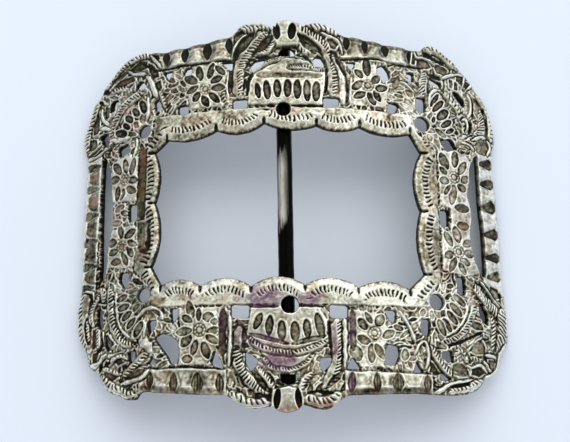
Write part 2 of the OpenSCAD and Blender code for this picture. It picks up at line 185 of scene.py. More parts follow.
def pairs(numbers: Iterable[float]) -> Line:
    """Reads a row of numbers as x and y of one point after another."""
    row = tuple(numbers)
    return tuple(zip(row[::2], row[1::2]))


def lines(rows: Iterable[Iterable[float]]) -> tuple[Line, ...]:
    """Reads each row of numbers as the points of one line."""
    return tuple(pairs(row) for row in rows)


# Outer edge, clockwise from the left end of the top rail
OUTLINE: Line = (
    (-24.5, 31.8), (-20, 31.9), (-16, 32.2), (-11.5, 32.9), (-10, 33.4), (-9, 34.4), (-7.6, 35.1),
    (-5.6, 35.1), (-3.4, 34.6), (-2.6, 34.5), (-1.6, 35.2), (0, 35.4), (1.6, 35), (2.6, 34.5), (4, 34.9),
    (5.8, 35.1), (7.4, 34.7), (9, 33.8), (10.5, 33), (14, 32.6), (18, 32.1), (23, 31.8), (25.8, 31.9),
    (26.6, 33), (28, 33.3), (29.4, 32.8), (31, 31.9), (32.6, 31.1), (34, 29.8), (35.4, 28.8), (36.8, 27.3),
    (38, 25.7), (39.4, 24.2), (40.1, 22.3), (40.8, 20.5), (41.3, 18.5), (41.3, 16.6), (40.6, 15),
    (40.4, 12.5), (40.7, 6), (41, -2), (41.2, -12), (41.5, -15), (41.8, -19), (41.8, -22.4), (41.2, -23.9),
    (39.6, -26), (38.8, -28.2), (37.4, -29.5), (36, -30.3), (35, -31.6), (33.4, -32.6), (31, -33.1),
    (27.5, -33.2), (23, -33), (16, -33.2), (11, -33.4), (9.8, -33.8), (8.2, -35), (6.8, -35.8), (5, -35.6),
    (2.8, -35), (2, -35.8), (0.2, -36.3), (-1.6, -36), (-2.6, -35.3), (-4.4, -35.5), (-6.2, -35.6),
    (-8, -34.9), (-9.6, -33.9), (-10.8, -33.4), (-16, -33.2), (-22, -32.9), (-26, -32.7), (-27.1, -33.9),
    (-28.6, -34), (-30.4, -33.2), (-32, -32.8), (-33.6, -31.4), (-34.6, -29.6), (-36.6, -28.2),
    (-37.3, -27.2), (-37.8, -25.3), (-39.3, -23.2), (-40, -21), (-40.1, -19), (-40.4, -17.5), (-40, -15.5),
    (-39.9, -12), (-40.1, 0), (-40.1, 12), (-40.6, 15), (-41.1, 16.6), (-41, 18.8), (-39.9, 21.3),
    (-39.2, 24), (-38, 25.3), (-37, 26.9), (-35.4, 28.3), (-34.2, 29.6), (-32.6, 31.1), (-30.6, 32),
    (-28.4, 32.3), (-26.6, 32.2),
)

# Inner edge, clockwise: x and y of a nick in the rim, and how far the lobe after it swells into the opening
NICKS = (
    (-22.6, 13.8, 1.05), (-13.1, 14.6, 1.35), (-4.2, 15.5, 1.1), (5.4, 15, 1), (13.4, 15.1, 1.05),
    (23, 14.7, 0), (25.2, 11.3, 1.4), (24.8, 0, 1.05), (25.1, -11.8, 0), (22, -14.9, 1.35),
    (12.6, -14.9, 1.5), (3.2, -14.6, 1.6), (-6.3, -14.7, 1.4), (-15.4, -14.4, 1.2), (-22.9, -14, 0),
    (-25.1, -10.3, 1.4), (-24.9, 1.8, 1.05), (-25.2, 11.6, 0),
)

# Windows pierced through the casting, by their corners: along the top from the left, down the right side,
# along the bottom from the right, and up the left side
WINDOWS = lines((
    (-35.1, 23.3, -34.6, 24.3, -33.2, 23.8, -33.6, 22.9, -34.8, 21.7),
    (-29.6, 26, -28.9, 26.7, -28.1, 26.8, -27.3, 25.5, -27.5, 25, -29.5, 25.1),
    (-25.6, 21.9, -24.9, 22.3, -24.2, 21.5, -23.8, 20.2, -25.3, 20),
    (-23.9, 27.6, -21.6, 27.6, -22.8, 25.5), (-20.8, 20.2, -18.6, 20.2, -18.5, 18.1, -20.6, 18.3),
    (-19.8, 26.9, -19.3, 27.7, -18.1, 27.7, -18.1, 26, -19.7, 26), (-12.5, 27.9, -10.2, 27.9, -10.3, 26),
    (-10.2, 20.4, -7.4, 20.4, -7.3, 18.5, -10.1, 18.3),
    (-7.1, 26.7, -6.1, 27.8, -4.2, 28.1, -4.2, 27.3, -6.2, 25.6),
    (4.8, 28, 5.3, 28.5, 6.3, 28.4, 6.9, 27.5, 7, 26.3, 4.9, 26.6),
    (6.7, 20.6, 9.7, 20.5, 9.6, 18.6, 6.7, 18.2), (10.8, 27.8, 12.9, 27.8, 11.9, 25.9),
    (16.8, 27.2, 18.2, 27.9, 19.1, 26.8, 19.5, 25.4, 18.1, 24.1, 17.2, 25.7),
    (19.2, 20.6, 21.1, 20.2, 20.2, 18.1, 18.4, 18.3), (22.4, 27.1, 24.1, 27, 24, 25.1, 23.2, 25),
    (24.3, 22.4, 26.4, 22.3, 26.3, 19.3, 24.3, 19.4), (27.2, 27, 29.8, 26.1, 29.8, 25.3, 27.3, 25.3),
    (32, 25.1, 33, 24.8, 34.9, 22.8, 34.3, 22.1, 33, 23.2),
    (35.3, 19.9, 36.1, 19.4, 36.1, 17.7, 35.3, 16.7), (29.1, 14.4, 31.3, 15.2, 32.7, 13.2, 30.1, 12.2),
    (28.2, 0.6, 30.2, 0.8, 30.2, -2.3, 28.3, -2.7), (31, -11.8, 33, -11.5, 33, -15.1, 31.3, -14.9),
    (35.6, -16.2, 36.6, -16.3, 37.7, -18.4, 37.4, -20.4, 36.6, -20, 35.6, -18.3),
    (27.4, -25.7, 29.7, -25.2, 29.9, -27.3, 28.7, -27.3, 27.5, -26.6),
    (27, -29.2, 28.2, -29.5, 29.4, -30.5, 27.2, -30.7), (23.7, -19.9, 25.8, -19.9, 25.4, -23, 23.8, -22.7),
    (22.8, -27.4, 24.1, -29.4, 22, -29.4),
    (17.7, -24.5, 19.6, -24.9, 19.8, -26.5, 19, -28.2, 17, -28.2, 17, -26),
    (17, -18.6, 19.4, -18.7, 19.2, -20.5, 18.6, -21, 17.7, -20.1), (10.2, -29, 11.3, -26.9, 12.9, -29),
    (7.4, -17.9, 10.7, -18, 10.6, -20.3, 7.4, -20.3),
    (5.7, -27.1, 7.9, -27, 7.5, -28.4, 6.2, -29.5, 5.6, -28.6),
    (-7.3, -26.1, -6, -26.6, -4.9, -27.6, -5.3, -28.7, -6.2, -29.5, -7.1, -28.3),
    (-9.9, -17.8, -6.5, -18, -6.7, -20.4, -9.8, -20.2), (-12.5, -25.5, -10.7, -29, -13.3, -28.3),
    (-24, -23.2, -22.6, -22.5, -20.4, -23.1, -19.2, -24.2, -18.9, -26.6, -19.4, -28, -20.6, -28, -21.5,
     -26.3, -22.7, -24.9), (-20.9, -18.1, -19.2, -18.3, -19.4, -19.8, -20.3, -21.1, -20.7, -20),
    (-25.2, -20.1, -23.3, -20, -23.8, -21.8, -24.8, -22.8), (-24, -26.2, -23.1, -28, -25, -27.9),
    (-28.9, -25.4, -27.3, -25.4, -27.3, -26.8, -27.9, -27.8, -28.6, -27.2),
    (-34, -21.8, -32.3, -25, -33, -25.3, -33.9, -23.8),
    (-36, -17.4, -35.2, -17, -34.6, -17.6, -34.4, -20.8, -35.2, -21.2, -35.9, -19.8),
    (-31.3, -10.8, -29.4, -10.8, -29.4, -14.1, -30.6, -13.8, -31.5, -12.2),
    (-30.2, 2.1, -28.2, 2.1, -28.1, -1.3, -30, -1.3), (-33, 13.8, -30.8, 14.7, -30, 12.6, -32.6, 11.8),
    (-37.2, 17.2, -36.4, 17.9, -35.2, 17.5, -35, 14.3, -36, 14.9, -36.8, 15.8),
))

# Long slots between the side rails and the panels
SLOTS = lines((
    (-36.2, 12.6, -35, 11.2, -34.4, 9.4, -33.9, 6.4, -33.6, 3, -33.3, 0, -33.5, -3, -34.3, -6.5, -34.2,
     -9.8, -35.3, -12.4, -35.9, -13.4, -35.7, -9, -36.1, -2, -36.3, 5),
    (36.2, 12.2, 35, 9.6, 34.8, 7, 34.2, 4.5, 34.8, 2, 34.9, -1, 34.4, -3.2, 34.9, -7, 35.6, -9.2, 37.3,
     -11.3, 37.6, -7, 37.5, -2, 37.1, 3, 37, 12),
))

# Round eyes: x, y, radius
EYES = (
    (-27.3, 16.2, 1.35), (25.5, 17, 1.5), (27, -16.7, 1.5), (-26.2, -15.4, 1.35), (-0.7, 18, 1.35),
    (0.5, -18, 1.55), (-24.7, 19.3, 0.45),
)

# Half-round windows at the foot of the crests: x, y, radius, and which way they bulge in y
HALF_MOONS = ((-0.1, 28.6, 1.6, 1), (0.3, -29.9, 1.7, -1))

# The eight flowers: along the top, along the bottom, down the left side and down the right side
FLOWERS = tuple(Flower(*row) for row in (
    (-15.3, 22.8, 2.7, 0.9), (15, 23.2, 2.7, 1), (-15.3, -22.2, 2.7, 1), (15.2, -22.8, 2.6, 1),
    (-31, 7.1, 2, 0.9), (-31, -5.9, 2.3, 0.9), (31.6, 7.4, 2.4, 1), (31.8, -7, 2.3, 1),
))

# Petals and leaves of the flowers
PETALS = tuple(Oval(*row) for row in (
    # top left
    (-16.5, 26, 2.6, 1.2, 100), (-14.3, 26.3, 2.8, 1.1, 75), (-13.2, 24.5, 2.1, 1.1, 25),
    (-12.8, 22.8, 2.3, 1.2, 0), (-13.6, 20.9, 2.5, 1, -45), (-15.3, 20.4, 2.3, 1.2, -60),
    (-17, 21.4, 1.7, 1.2, 60), (-17.9, 22.9, 2.3, 0.9, 30), (-18.2, 25, 2.6, 1.4, -30),
    (-12.5, 26.2, 2.2, 0.9, -45),
    # top right
    (14.9, 26.9, 3.4, 1.4, 95), (13.4, 25.4, 1.6, 1, -45), (13.1, 23.1, 2.3, 1.2, 40),
    (13.5, 21.2, 2.2, 1.1, 25), (15.7, 20.6, 2.3, 1.1, -60), (16.8, 21.2, 2, 0.8, -60),
    (17.6, 22.9, 1.9, 1.2, 10), (16.6, 24.6, 1.6, 1.3, 45),
    # bottom left
    (-17.1, -18.6, 3, 1.3, 105), (-15.5, -19.5, 1.9, 0.7, 90), (-13.8, -20, 1.7, 1.5, 0),
    (-12.7, -20.8, 1, 0.8, 0), (-12.9, -22.4, 2, 1, 10), (-13, -23.9, 2.3, 1, -30),
    (-14.1, -25.8, 2.7, 1.3, -70), (-16.2, -25.3, 2.5, 0.9, 75), (-17.7, -24, 2.2, 1.4, 45),
    (-18.2, -22.4, 2.6, 1.2, 8), (-17.6, -20.2, 1.8, 1, -30), (-17.4, -27.2, 1.6, 1.1, 0),
    # bottom right
    (13.2, -21.3, 1.9, 1.2, -55), (14.2, -20.2, 1.9, 0.7, -60), (16.2, -20.6, 1.9, 1.5, 60),
    (17.7, -22.9, 1.9, 1.2, 25), (13.3, -24, 2.2, 1.2, -25), (14.6, -26.3, 2.8, 1.2, 90),
    (16.1, -26, 2.6, 1.1, -60), (11.9, -26.3, 2.6, 1.9, -65), (20.6, -26.4, 1.8, 1.2, 80),
    # left side, upper and lower
    (-32.8, 9.6, 2.6, 1.3, -55), (-31, 9.8, 2.6, 1.1, 100), (-29.5, 9.5, 3, 1, 80),
    (-33.3, 7.5, 1.8, 1.4, 0), (-29.3, 6.8, 1.6, 1.2, -10), (-29.6, 4.9, 2, 1.3, -25),
    (-31.5, 4.3, 2, 1, 70), (-32.5, 4.6, 2.6, 1, 85), (-29.4, -3.6, 2.3, 1.2, 30), (-31.4, -3, 2.3, 1, 100),
    (-33.2, -4.9, 1.7, 1.4, 0), (-32.8, -6.8, 1.7, 1.1, 20), (-32.1, -8.7, 1.8, 1.2, 0),
    (-30.3, -8.3, 2.4, 0.9, -65), (-29.2, -7.1, 2, 1, -60), (-28.9, -5.5, 1.8, 0.9, -25),
    (-31.9, 1.6, 1.9, 1.1, 25), (-30.7, 0.5, 1.5, 0.9, -20), (-32.4, -1.2, 1.9, 1, -5),
    # right side, upper and lower
    (29.6, 10.2, 2.9, 1.6, -65), (31.9, 11, 3, 1.3, 85), (33.4, 9.5, 2.8, 1.2, 60),
    (33.8, 7.3, 1.6, 1.2, 40), (33.1, 5.5, 1.5, 1.2, -30), (31.1, 3.9, 3.6, 1.4, 80), (30, 4.6, 2, 0.6, 60),
    (29.5, 6.4, 1.6, 1.3, 0), (29.3, 8.3, 1.4, 0.8, -35), (32.9, 1.5, 2.6, 1.4, 0), (33, -1.9, 2.2, 1.4, 0),
    (31.6, -3.8, 2.8, 1.4, -75), (29.8, -4.8, 2.6, 1.1, -60), (33.8, -5.2, 1.9, 1.2, 20),
    (34, -7.1, 1.6, 1.4, 0), (33, -8.8, 1.9, 1.1, -20), (32.4, -10.1, 2.1, 1, -60),
    (30.5, -9.5, 2.6, 1.1, 65), (29.8, -7.8, 1.6, 1.2, 30),
))

# Ovals of the corner fans
FAN_OVALS = tuple(Oval(*row) for row in (
    (-27.8, 21.2, 3, 1.3, -70), (-29.3, 20.4, 2.1, 1.2, -50), (-30.7, 19.3, 2.1, 1.2, -45),
    (-31.2, 17.9, 2, 1, -35), (-32.3, 16.7, 2.7, 1.4, -20), (28.1, 22.1, 3.3, 0.8, 58),
    (28.8, 21.1, 3.3, 1, 48), (29.7, 19.5, 3.1, 1.6, 45), (30.4, 17.8, 2.7, 1.1, 35),
    (31.1, 16.5, 1.9, 0.7, 30), (27.8, 18.2, 1.2, 0.6, 80), (-30.5, -15.7, 2.3, 1.1, 25),
    (-30.1, -17.4, 2.4, 1.2, 20), (-29.3, -19, 2.4, 1.1, 40), (-28.4, -20.4, 2.6, 0.9, 50),
    (-26.9, -21.6, 3.2, 1.3, 60), (31.5, -16.1, 3, 1.2, -40), (30.7, -17.9, 3.2, 1.2, -45),
    (29.9, -19.4, 2.9, 1.1, -50), (28.8, -20.8, 2.7, 1, -55), (27.7, -21.3, 3, 1.1, -65),
))

# Ovals of the two cartouches
CARTOUCHE_OVALS = tuple(Oval(*row) for row in (
    (-5.4, 21.7, 3, 1, 98), (-3.7, 21.8, 3.7, 1.3, 96), (-1.8, 22, 3.4, 1.4, 92), (0.1, 22, 3.4, 1.4, 90),
    (1.9, 21.8, 3.7, 1.4, 90), (3.7, 21.6, 4.2, 1.3, 92), (5.4, 21.4, 3.8, 1.4, 88),
    (-5, -20.9, 2.9, 1.1, 66), (-3, -21.7, 3.5, 1.2, 86), (-0.9, -22.6, 3.4, 1.4, 90),
    (1.4, -22.7, 3.4, 1.5, 92), (3.5, -22.2, 3.3, 1.2, 97), (5.7, -21.7, 4.4, 1.4, 104),
))

# Pointed pits with no rim of their own
LENSES = tuple(Oval(*row) for row in (
    # top crest, left to right
    (-9, 33.3, 2.2, 0.7, 10), (-8, 31.1, 5.4, 2, 53), (-4.1, 31, 4.6, 1.5, 52), (-7.8, 23, 2, 0.9, 80),
    (4.1, 31, 5.6, 1.6, -38), (9.9, 27.2, 4.6, 0.9, -62),
    # bottom crest
    (-8.5, -30.8, 3.8, 1.7, -48), (-4.5, -31, 5.2, 1.2, -52), (5.1, -30.3, 4.4, 1.2, 52),
    (8.1, -30.9, 3.8, 1.2, 45), (-4.9, -33.5, 2, 1.1, 10), (-8, -21.1, 2.6, 1.1, 2),
    # caps of the cartouches
    (-3.1, -23.9, 7.6, 0.9, -15), (3.8, -24.1, 6.6, 1, 14),
    # corners
    (20.5, 24.5, 3.4, 1.3, 68), (23.9, -26.6, 3.2, 0.8, -75), (-25.1, -19.2, 2.4, 1.2, 0),
))

# Notches cut across the top and bottom rails, and the blades cut into the crest knobs
RAIL_NOTCHES = tuple(Oval(*row) for row in (
    (-23.3, 30.4, 3.3, 1.6, 95), (-19.5, 30.4, 3.2, 1.5, 88), (-15.1, 30.5, 3.6, 1.8, 92),
    (-10.9, 31.2, 3.4, 1.4, 95), (11.1, 31.5, 3, 1.3, 90), (14.6, 31.2, 3, 1.2, 92),
    (18.5, 30.9, 2.9, 1.5, 95), (23.4, 30.3, 3, 1.2, 90), (-24.2, -30.7, 3.2, 1.4, 90),
    (-19.8, -31.3, 3.9, 1.6, 90), (-15.5, -31.4, 4, 2.3, 92), (-11.5, -31.5, 3.7, 1.6, 94),
    (11.1, -31.2, 3.9, 1.5, 85), (15.5, -31.3, 3.9, 1.4, 90), (19.2, -31.2, 3.7, 2.1, 88),
    (24.6, -31.3, 3.3, 1.5, 90),
))

KNOB_BLADES = tuple(Oval(*row) for row in (
    (-2, 33.2, 3.4, 1.3, 96), (0.9, 33.2, 3.3, 1.3, 86), (-1.6, -34, 3.4, 1.1, 84), (2, -33.9, 3.2, 1, 96),
))

# Wedge notches of the side rails: x of the wide end, x of the narrow end, y, width, turn in degrees
SIDE_NOTCHES = tuple(Wedge(*row) for row in (
    (-40.3, -36.6, 11.2, 1.8, 0), (-40.3, -36.5, 6.6, 1.8, -4), (-40.3, -36.6, 1.4, 2, 2),
    (-40.3, -36.4, -3.8, 1.9, 3), (-40.2, -36.4, -8.8, 1.8, 0), (-40.2, -36.8, -12.9, 1.6, 0),
    (40.6, 37.2, 11.3, 2.4, 6), (40.6, 37.1, 7.2, 2.2, 8), (40.7, 36.9, 2.4, 2.6, 10),
    (41, 37.5, -2.8, 2.3, 9), (41, 37.6, -7.3, 2, 6), (41.1, 37.7, -11, 2.2, 8),
))

# The four rails of the top and bottom, then those of the left and the right
RAILS = tuple(Rail(bevel, soot, pairs(corners)) for bevel, soot, corners in (
    (1.15, 0.42, (-26.2, 28.3, -10.1, 28.2, -10.1, 36, -26.2, 36)),
    (1.15, 0.42, (9.9, 28.2, 26.1, 28.3, 26.1, 36, 9.9, 36)),
    (1.15, 0.28, (-26.3, -28.6, -10.4, -28.9, -10.4, -37, -26.3, -37)),
    (1.15, 0.48, (9.9, -29.2, 25.6, -29.6, 25.6, -37, 9.9, -37)),
    (0.55, 0.1, (-36.5, -14.4, -36.5, 13.4, -43, 13.4, -43, -14.4)),
    (0.55, 0.1, (36.9, -14.4, 36.9, 13.4, 43, 13.4, 43, -14.4)),
))

# Panels of the cartouches, and the crest knobs
CARTOUCHES = lines((
    (-7.2, 20.7, -6.9, 23.4, -6.1, 25, -3.8, 27.2, 0, 28.2, 4, 27.5, 5, 26.2, 7.2, 25.4, 6.9, 22, 6.4,
     18.9, -7.2, 19),
    (-6.2, -18.4, -7, -23.2, -5, -25.4, -2.6, -28.6, 0.6, -29.4, 3, -28.4, 5, -26.2, 7, -24, 7, -20.6, 5.4,
     -18.3),
))

SIDE_PANELS = lines((
    (-34, 5, -33.4, 11.2, -31, 12, -28.4, 11.6, -28.4, 2.6, -31, 2.9, -33.8, 3.2),
    (-33.8, -2.6, -31, -2, -28.4, -2.2, -28.4, -9.8, -31, -10, -34.2, -9.4),
    (28.4, 1.6, 28.4, 12, 31, 12.8, 34, 12.6, 35.4, 11, 34.6, 5, 35, 0.4, 34.6, -3.4, 35.2, -8, 36.2,
     -10.6, 33, -11.4, 29.8, -11, 28.4, -10.8, 28.4, -3.6, 30.6, -3, 30.6, 1.2),
))

PLAQUES = lines((
    (-19.3, -18.2, -12.2, -18.2, -12.2, -25, -14, -28.2, -19, -28.2, -18.8, -24, -18.9, -21),
    (12, -18.8, 17, -19.5, 17, -24.3, 16.6, -28.6, 12.6, -28.6, 11.4, -25.6),
    (-19.2, 27.8, -12.6, 27.8, -11.6, 26, -11.8, 19.2, -18, 19.2, -19.2, 24),
    (12.6, 27.8, 16.6, 28, 17, 24.5, 19, 23.5, 18.4, 19.2, 12.2, 19.2),
    (10.7, -18.8, 12.2, -18.8, 12.2, -25.5, 10.7, -26.5),
    (-12, -18.6, -10.5, -18.6, -10.5, -27.2, -12, -25),
))

KNOBS = lines((
    (-2.9, 36, -2.6, 32, -1.9, 30.3, 1.9, 30.3, 2.6, 32, 2.8, 36),
    (-2.9, -37, -2.5, -32.5, 0.3, -31.8, 2.8, -32.6, 3, -37),
))

# The rim's outer side
RIM_EDGE: Line = (
    (-28.2, 11.8), (-25.4, 14.2), (-25, 18.4), (23.4, 18.4), (24.2, 15), (28, 12.2), (28, -12.6),
    (25.6, -15.6), (24, -18), (-24.4, -17.8), (-25.2, -13.4), (-28.2, -10.8),
)

